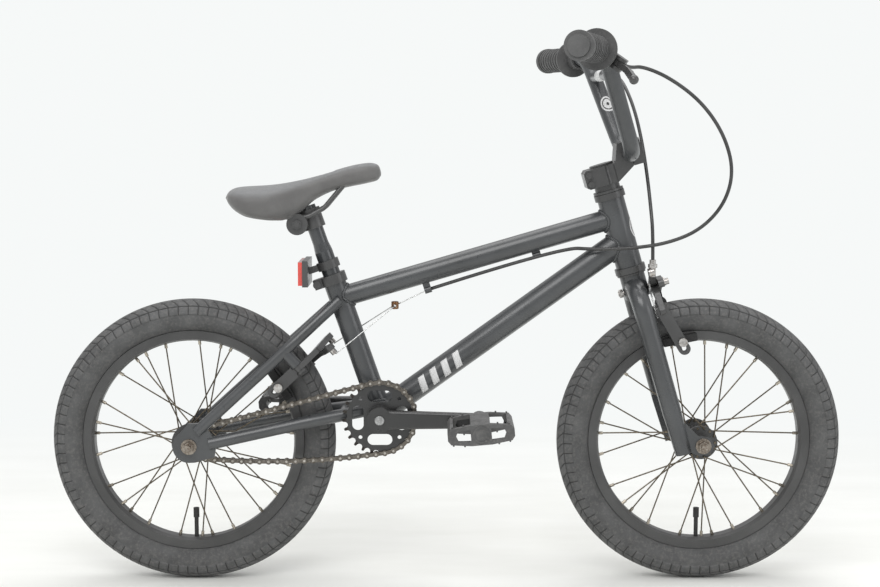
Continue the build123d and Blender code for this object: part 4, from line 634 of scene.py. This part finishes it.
def saddle():
    """The padded cover: crowned on top, full at the wings, turned in under a hollow base."""
    stations, around = 110, 72
    length = SADDLE_TOP[-1][0]
    vertices = []
    for i in range(stations):
        x = length * (1 - math.cos(math.pi * i / (stations - 1))) / 2
        top, low, wide = (along_curve(t, x) for t in (SADDLE_TOP, SADDLE_LOW, SADDLE_WIDE))
        wide = max(wide, 1.0)
        middle = low + (top - low) * 0.42
        for j in range(around):
            a = math.tau * j / around
            c, s = math.cos(a), math.sin(a)
            power = 0.62 if s > 0 else 0.8
            y = wide * math.copysign(abs(c) ** 0.8, c)
            if s >= 0:
                z = middle + (top - middle) * abs(s) ** power
                z -= 0.7 * math.exp(-((y / 9) ** 2)) * (1 if 30 < x < 150 else 0)
            else:
                z = middle - (middle - low) * abs(s) ** power
                inside = smooth_step(wide - abs(y), 15, 24) if wide > 14 else 0
                z += inside * (top - low) * 0.5
            vertices.append(Vector((SADDLE_X + x / 1000, y / 1000, SADDLE_Z + z / 1000)))
    faces = grid_faces(stations, around, close_columns=True)
    faces.append(tuple(reversed(range(around))))
    faces.append(tuple(range((stations - 1) * around, stations * around)))
    made = mesh_object("saddle_cover", vertices, faces, SADDLE)
    tidy_normals(made)
    smooth = made.modifiers.new("subdivision", "SUBSURF")
    smooth.levels = smooth.render_levels = 1
    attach(made, "seat")
    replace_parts(made, "saddle")


saddle()

# ----------------------------------------------------------------------- cables
CABLE_R = 0.0025
WIRE_R = 0.0008
LEVER_EXIT = Vector((0.232284, 0.147613, 0.731740))
LEVER_WAY = Vector((0.578002, -0.782528, -0.231439))
GUIDE = Vector((0.128585, 0, 0.468392))
STOP = Vector((-0.026172, 0, 0.418699))
SOCKET = Vector((0.289175, -0.036, 0.456670))
# Places that each housing passes: ahead of the front axle, to the left, above the ground.
REAR_ROUTE = [
    (-100, -112, 731), (-62, -103, 716), (-17, -92, 684), (16, -82, 640), (32, -72, 590),
    (22, -62, 544), (-10, -57, 508), (-54, -51, 489), (-102, -40, 481), (-150, -24, 478),
]
FRONT_ROUTE = [(-103, 84, 713), (-91, 50, 676), (-83, 18, 628), (-78, -6, 580), (-75, -22, 540)]


def mirrored(point):
    return Vector((point.x, -point.y, point.z))


def places(route):
    return [Vector((HALF_WHEELBASE + x / 1000, y / 1000, z / 1000)) for x, y, z in route]


def smooth_line(route, share=24):
    """Points read from the smooth NURBS curve that the route's points control."""
    curve = bpy.data.curves.new("route", "CURVE")
    curve.dimensions = "3D"
    curve.resolution_u = share
    spline = curve.splines.new("NURBS")
    spline.points.add(len(route) - 1)
    for point, spot in zip(spline.points, route):
        point.co = (*spot, 1)
    spline.order_u = 3
    spline.use_endpoint_u = True
    holder = bpy.data.objects.new("route", curve)
    mesh = bpy.data.meshes.new_from_object(holder)
    line = [v.co.copy() for v in mesh.vertices]
    bpy.data.meshes.remove(mesh)
    bpy.data.objects.remove(holder)
    bpy.data.curves.remove(curve)
    return line


def housing(name, node, route):
    made = tube(name, smooth_line(route), CABLE_R, HOUSING, around=16)
    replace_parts(made, node)
    return made


def cables():
    """The rear housing runs from the right lever round the head, the front one down to its arm."""
    start = mirrored(LEVER_EXIT)
    route = [start, start + mirrored(LEVER_WAY) * 0.016] + places(REAR_ROUTE)
    route += [GUIDE + (GUIDE - STOP).normalized() * 0.036, STOP]
    rear = housing("rear_cable_housing", "rear_brake_cable", route)
    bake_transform(rear)
    route = [LEVER_EXIT, LEVER_EXIT + LEVER_WAY * 0.034] + places(FRONT_ROUTE)
    route += [SOCKET + Vector((0, 0, 0.045)), SOCKET]
    front = housing("front_cable_housing", "front_brake_cable", route)
    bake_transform(front)


cables()


def wires():
    """The straddle's pull wire and hanger stay with the frame; each branch wire is drawn where the CAD
    wire lies, attached to no body.
    """
    mesh = NODES["rear_brake_wire"].data
    for faces in islands(mesh):
        points = [mesh.vertices[v].co for f in faces for v in f.vertices]
        low = Vector([min(p[i] for p in points) for i in range(3)])
        high = Vector([max(p[i] for p in points) for i in range(3)])
        middle = (low + high) / 2
        far = max(points, key=lambda p: (p - middle).length)
        near = max(points, key=lambda p: (p - far).length)
        way = (far - near).normalized()
        ends = []
        for end in (near, far):
            close = [p for p in points if abs((p - end).dot(way)) < 0.002]
            ends.append(sum(close, Vector()) / len(close))
        start, end = sorted(ends, key=lambda p: -p.x)
        thick = (high - low).length < 0.03
        if thick:
            yoke_parts(start, end, middle)
            continue
        path = dense([start, end], 0.006)
        if abs(end.y) < 0.012:
            tube("rear_pull_wire", path, WIRE_R, POLISHED, body="frame")
            continue
        side = "left" if end.y > 0 else "right"
        made = tube("rear_" + side + "_branch_wire", path, WIRE_R, POLISHED)
        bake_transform(made)


def yoke_parts(start, end, middle):
    """The hanger: a knurled tarnished barrel on the pull wire, with a cross pin."""
    way = Vector((end.x - start.x, 0, end.z - start.z)).normalized()
    knurl = [(-0.0058, 0.0), (-0.0058, 0.0045), (-0.0048, 0.0055)]
    knurl += [(-0.0046 + k * 0.0007, 0.0055 - 0.0005 * (k % 2)) for k in range(13)]
    knurl += [(0.0050, 0.0045), (0.0050, 0.0)]
    made = lathe("rear_hanger_barrel", middle, way, knurl, COPPERY, count=48, body="frame")
    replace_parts(made, "rear_brake_wire")
    ends = [middle - Y_AXIS * 0.009, middle + Y_AXIS * 0.009]
    tube("rear_hanger_pin", dense(ends, 0.003), 0.0024, PLATED, body="frame")


wires()


# ----------------------------------------------------------------------- pedals
PEDAL_TILT = math.radians(5)
PEDAL_PROFILE = [
    (-45, -5), (-41, -10.5), (-14, -14), (14, -14), (41, -10.5), (45, -5),
    (45, 5), (41, 10.5), (14, 14), (-14, 14), (-41, 10.5), (-45, 5),
]
BOSS_R = 11.5
AXLE_ROOM = 6.3
PIN_PLACES = (-38, -23, 23, 38)


def turned(x, z):
    """A place in the pedal's side view, in millimetres, with the pedal's tilt."""
    c, s = math.cos(PEDAL_TILT), math.sin(PEDAL_TILT)
    return x * c - z * s, x * s + z * c


def block(outline, low_y, high_y):
    """An outline in the side view, swept across the pedal; millimetres from its middle."""
    count = len(outline)
    vertices = []
    for y in (low_y, high_y):
        for x, z in outline:
            x, z = turned(x, z)
            vertices.append((x / 1000, y / 1000, z / 1000))
    faces = [tuple(range(count)), tuple(reversed(range(count, 2 * count)))]
    faces += [(i, i + count, (i + 1) % count + count, (i + 1) % count) for i in range(count)]
    made = mesh_object("block", vertices, faces, PEDAL, smooth=False)
    tidy_normals(made)
    return made


def round_outline(radius, x=0.0, count=40):
    turns = [math.tau * k / count for k in range(count)]
    return [(x + radius * math.cos(a), radius * math.sin(a)) for a in turns]


def combine(base, tools, how):
    """Adds or cuts each tool in turn, then forgets it."""
    for tool in tools:
        change = base.modifiers.new("change", "BOOLEAN")
        change.operation = how
        change.solver = "EXACT"
        change.object = tool
        ready = base.evaluated_get(bpy.context.evaluated_depsgraph_get())
        mesh = bpy.data.meshes.new_from_object(ready)
        base.modifiers.clear()
        base.data = mesh
        bpy.data.objects.remove(tool)


def pedal(side, name):
    """An open moulded cage: two windowed side walls, a middle web, end bars, a boss and studs."""
    low, high = (Vector(corner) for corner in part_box(name + "_pedal"))
    middle = (low + high) / 2
    half = (high.y - low.y) * 500
    body = block(PEDAL_PROFILE, -half, half)
    cuts = []
    for way in (-1, 1):
        for row in (-1, 1):
            near, far = sorted((row * 4.5, row * (half - 8)))
            wall = [(way * 13, -20), (way * 37, -20), (way * 37, 20), (way * 13, 20)]
            cuts.append(block(wall, near, far))
        for up in (-1, 1):
            room = [(way * 13, up * 3), (way * 37, up * 3), (way * 37, up * 20), (way * 13, up * 20)]
            cuts.append(block(room, -half + 8, half - 8))
        window = [(way * 14, -8), (way * 31, -7), (way * 34, 0), (way * 31, 7), (way * 14, 8)]
        cuts.append(block(window, -half - 2, half + 2))
    combine(body, cuts, "DIFFERENCE")
    combine(body, [block(round_outline(BOSS_R), -half - 1, half + 1)], "UNION")
    room = sorted((-side * (half + 3), side * (half - 5)))
    rim = [block(round_outline(9), *sorted((side * (half + 0.3), side * (half + 3))))]
    combine(body, [block(round_outline(AXLE_ROOM), *room)] + rim, "DIFFERENCE")
    studs = []
    for x in PIN_PLACES:
        for y in (-half + 4, half - 4):
            for up in (-1, 1):
                reach = up * (14.6 - 3.5 * max(0.0, abs(x) - 14) / 27)
                foot, tip = reach - up * 3, reach + up * 1.6
                stud = [(x - 1.5, foot), (x + 1.5, foot), (x + 1.1, tip), (x - 1.1, tip)]
                studs.append(block(stud, y - 1.4, y + 1.4))
    combine(body, studs, "UNION")
    body.name = body.data.name = name + "_pedal_cage"
    for vertex in body.data.vertices:
        vertex.co += middle
    body.data.materials.clear()
    body.data.materials.append(PEDAL)
    for polygon in body.data.polygons:
        polygon.material_index = 0
    soft = body.modifiers.new("edges", "BEVEL")
    soft.width, soft.segments, soft.limit_method = 0.0007, 2, "ANGLE"
    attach(body, name + "_pedal")
    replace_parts(body, name + "_pedal")


for side, name in SIDES:
    pedal(side, name)


# ----------------------------------------------------------------- small pieces
def cylinder_hit(point, way, axis_point, axis, radius):
    """How far along way a line from point first meets an endless cylinder."""
    across = way - axis * way.dot(axis)
    gap = (point - axis_point) - axis * (point - axis_point).dot(axis)
    a, b, c = across.dot(across), 2 * across.dot(gap), gap.dot(gap) - radius * radius
    under = b * b - 4 * a * c
    if under < 0:
        return None
    roots = sorted([(-b - math.sqrt(under)) / (2 * a), (-b + math.sqrt(under)) / (2 * a)])
    return roots[0]


def weld(name, start, end, radius, axis_point, axis, big_radius, body="frame"):
    """A ripple bead where a tube running from start to end meets a larger tube."""
    way = (end - start).normalized()
    across, up = sides_of(way)
    around, ring = 160, 8
    centres = []
    for k in range(around):
        a = math.tau * k / around
        spot = start + (across * math.cos(a) + up * math.sin(a)) * radius
        reach = cylinder_hit(spot, way, axis_point, axis, big_radius)
        if reach is None:
            return None
        centres.append((spot + way * reach, (across * math.cos(a) + up * math.sin(a))))
    vertices = []
    for k, (spot, out) in enumerate(centres):
        along = (centres[(k + 1) % around][0] - centres[k - 1][0]).normalized()
        side = along.cross(out).normalized()
        bead = 0.0021 + 0.0005 * math.cos(math.tau * k / 4) + 0.0002 * math.sin(k * 0.37)
        for j in range(ring):
            b = math.tau * j / ring
            vertices.append(spot + (out * math.cos(b) + side * math.sin(b)) * bead)
    faces = grid_faces(around, ring, close_rows=True, close_columns=True)
    made = mesh_object(name, vertices, faces, PAINT)
    tidy_normals(made)
    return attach(made, body)


def front_springs():
    """The caliper's bent-wire return spring, one leg each side."""
    path = smooth_line([
        steer(18, -26, 244), steer(17, -22, 226), steer(15.5, -32, 208), steer(15.5, -37, 190),
    ], share=8)
    tube("front_right_spring", path, 0.0011, POLISHED, around=8, body="steering")
    tube("front_left_spring", [mirrored(p) for p in path], 0.0011, POLISHED, around=8, body="steering")


front_springs()


PRINT_THICK = 0.0002
BAR_MARK_OUT = 0.00025


def badge(name, centre, axis, radius_of_tube, half_angle, height, facing, body):
    """A plain round sticker wrapped on a tube: a pale disc with one dark ring and a dark dot."""
    out0 = (facing - axis * facing.dot(axis)).normalized()
    side0 = axis.cross(out0)
    rings, around = 14, 56
    vertices = []
    for i in range(rings + 1):
        t = i / rings
        for j in range(around):
            b = math.tau * j / around
            a = half_angle * t * math.cos(b)
            z = height * t * math.sin(b)
            out = out0 * math.cos(a) + side0 * math.sin(a)
            vertices.append(centre + axis * z + out * (radius_of_tube + PRINT_THICK))
    faces = grid_faces(rings + 1, around, close_columns=True)
    made = mesh_object(name, vertices, faces, PALE_PRINT)
    made.data.materials.append(DARK_PRINT)
    for index, polygon in enumerate(made.data.polygons):
        ring = index // around
        polygon.material_index = int(ring < 3 or ring in (9, 10))
    work = bmesh.new()
    work.from_mesh(made.data)
    bmesh.ops.remove_doubles(work, verts=work.verts, dist=1e-6)
    work.to_mesh(made.data)
    work.free()
    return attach(made, body)


HEAD_BADGE_UP = 320
HEAD_TUBE_R = 0.0192
TOP_TUBE_R = 0.015
DOWN_TUBE_R = 0.0175
SEAT_TUBE_R = 0.0161
BB_SHELL_R = 0.0202
STEERER_CROWN_R = 0.0182
FORK_LEG_R = 0.0125
HEAD_LOW = STEER_FOOT + UPWARD * 0.306


def frame_welds():
    """Ripple beads where the frame's tubes meet."""
    head_top = STEER_FOOT + UPWARD * 0.340
    seat_high = seat_line(176)
    top_middle = seat_high.lerp(head_top, 0.5)
    down_middle = CRANK.lerp(HEAD_LOW, 0.5)
    weld("weld_head_top", top_middle, head_top, TOP_TUBE_R, STEER_FOOT, UPWARD, HEAD_TUBE_R)
    weld("weld_head_down", down_middle, HEAD_LOW, DOWN_TUBE_R, STEER_FOOT, UPWARD, HEAD_TUBE_R)
    weld("weld_seat_top", top_middle, seat_high, TOP_TUBE_R, CRANK, SEAT_UP, SEAT_TUBE_R)
    weld("weld_bb_down", down_middle, CRANK, DOWN_TUBE_R, CRANK, Y_AXIS, BB_SHELL_R)
    weld("weld_bb_seat", seat_line(90), CRANK, 0.0159, CRANK, Y_AXIS, BB_SHELL_R)
    crown = steer(-2.5, 0, 238)
    for sign, side in SIDES:
        leg = steer(-2.5, sign * 52, 228)
        weld("weld_crown_" + side, leg, crown, FORK_LEG_R, STEER_FOOT, UPWARD, STEERER_CROWN_R,
             body="steering")


def prints():
    """Plain marks with no lettering: two ring badges, slanted bars and a pale band."""
    badge("head_badge", steer(0, 0, HEAD_BADGE_UP), UPWARD, 0.019, 0.72, 0.0155, FORWARD, body="frame")
    bar_low, bar_high = steer(41, 66, 423), steer(34, 134, 568)
    middle = bar_low + (bar_high - bar_low) * 0.47
    way = (bar_high - bar_low).normalized()
    badge("bar_badge", middle, way, 0.0111, 0.95, 0.0125, Vector((0.35, -1, 0)), body="steering")
    way = (HEAD_LOW - CRANK).normalized()
    for k in range(4):
        bar_mark("down_tube_bar_%d" % k, CRANK + way * (0.066 + 0.020 * k), way, DOWN_TUBE_R)
    band = [(-0.034, 0.0076), (-0.034, 0.0080), (0.034, 0.0080), (0.034, 0.0076)]
    middle = Vector((0.21891, 0, 0.721746))
    made = lathe("crossbar_band", middle, Y_AXIS, band, PALE_PRINT, count=40)
    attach(made, "steering")


def bar_mark(name, start, way, radius):
    """A slanted pale bar printed on the right side of a tube."""
    side = Vector((0, -1, 0))
    up = side.cross(way).normalized()
    if up.z < 0:
        up = -up
    vertices = []
    rows, columns = 13, 5
    for i in range(rows):
        a = math.radians(-38 + 76 * i / (rows - 1))
        for j in range(columns):
            along = 0.0105 * j / (columns - 1) + 0.007 * i / (rows - 1)
            out = side * math.cos(a) + up * math.sin(a)
            vertices.append(start + way * along + out * (radius + BAR_MARK_OUT))
    made = mesh_object(name, vertices, grid_faces(rows, columns), PALE_PRINT)
    thick = made.modifiers.new("film", "SOLIDIFY")
    thick.thickness = PRINT_THICK
    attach(made, "frame")


frame_welds()
prints()

# ------------------------------------------------------------- floor and lights
WALL_COLOUR = (0.925, 0.945, 0.94, 1)


def floor():
    """A pale floor that brightens into the studio's plain white away from the bike."""
    size = 40.0
    corners = [(-size, -size, 0), (size, -size, 0), (size, size, 0), (-size, size, 0)]
    look = Look("floor_surface", 0.5)
    look.colour(2.2, (0.83, 0.835, 0.80), (0.90, 0.905, 0.875), stretch=(1, 4, 1), detail=7)
    look.roughness(5, 0.4, 0.65)
    flat = look.node("ShaderNodeVectorMath", operation="MULTIPLY")
    flat.inputs[1].default_value = (0.5, 1, 0)
    look.join(look.place, flat.inputs[0])
    reach = look.node("ShaderNodeVectorMath", operation="LENGTH")
    look.join(flat.outputs["Vector"], reach.inputs[0])
    glow = look.node("ShaderNodeEmission")
    glow.inputs["Color"].default_value = WALL_COLOUR
    mix = look.node("ShaderNodeMixShader")
    look.join(look.span(reach.outputs["Value"], 0.0, 1.0, 0.25, 1.3), mix.inputs["Fac"])
    look.join(look.shader.outputs["BSDF"], mix.inputs[1]).join(glow.outputs["Emission"], mix.inputs[2])
    look.join(mix.outputs["Shader"], look.tree.nodes["Material Output"].inputs["Surface"])
    mesh_object("floor", corners, [(0, 1, 2, 3)], look.mat, smooth=False)


def surroundings():
    world = bpy.data.worlds.new("studio")
    bpy.context.scene.world = world
    world.use_nodes = True
    nodes, links = world.node_tree.nodes, world.node_tree.links
    background = nodes["Background"]
    coordinates = nodes.new("ShaderNodeTexCoord")
    split = nodes.new("ShaderNodeSeparateXYZ")
    ramp = nodes.new("ShaderNodeValToRGB")
    ramp.color_ramp.elements[0].position = 0.0
    ramp.color_ramp.elements[0].color = (0.50, 0.50, 0.50, 1)
    ramp.color_ramp.elements[1].position = 0.8
    ramp.color_ramp.elements[1].color = (1, 1, 1, 1)
    links.new(coordinates.outputs["Generated"], split.inputs["Vector"])
    links.new(split.outputs["Z"], ramp.inputs["Fac"])
    seen = nodes.new("ShaderNodeBackground")
    seen.inputs["Color"].default_value = WALL_COLOUR
    seen.inputs["Strength"].default_value = 1.0
    links.new(ramp.outputs["Color"], background.inputs["Color"])
    background.inputs["Strength"].default_value = 0.85
    path = nodes.new("ShaderNodeLightPath")
    mix = nodes.new("ShaderNodeMixShader")
    links.new(path.outputs["Is Camera Ray"], mix.inputs["Fac"])
    links.new(background.outputs["Background"], mix.inputs[1])
    links.new(seen.outputs["Background"], mix.inputs[2])
    links.new(mix.outputs["Shader"], nodes["World Output"].inputs["Surface"])


def softbox(name, place, target, width, height, energy, colour=(1, 1, 1)):
    data = bpy.data.lights.new(name, "AREA")
    data.shape = "RECTANGLE"
    data.size, data.size_y = width, height
    data.energy = energy
    data.color = colour
    made = bpy.data.objects.new(name, data)
    made.location = place
    made.rotation_euler = (Vector(target) - Vector(place)).to_track_quat("-Z", "Y").to_euler()
    bpy.context.scene.collection.objects.link(made)


def lights():
    softbox("key", (-0.6, -2.2, 2.6), (0, 0, 0.35), 2.4, 1.6, 42)
    softbox("top", (0.2, 0.6, 3.0), (0, 0, 0.3), 3.0, 2.0, 34)
    softbox("fill", (2.6, -1.4, 1.2), (0, 0, 0.4), 1.4, 1.4, 9, (0.97, 0.98, 1))


CAMERA_LENS = 65.9
CAMERA_PLACE = (-0.009, -2.285, 0.665)
CAMERA_DOWN = math.radians(6.29)


def camera():
    data = bpy.data.cameras.new("camera")
    data.lens = CAMERA_LENS
    data.sensor_width = 36
    made = bpy.data.objects.new("camera", data)
    made.location = CAMERA_PLACE
    made.rotation_euler = (math.radians(90) - CAMERA_DOWN, 0, 0)
    bpy.context.scene.collection.objects.link(made)
    bpy.context.scene.camera = made


floor()
surroundings()
lights()
camera()
bpy.context.scene.view_settings.view_transform = "Standard"
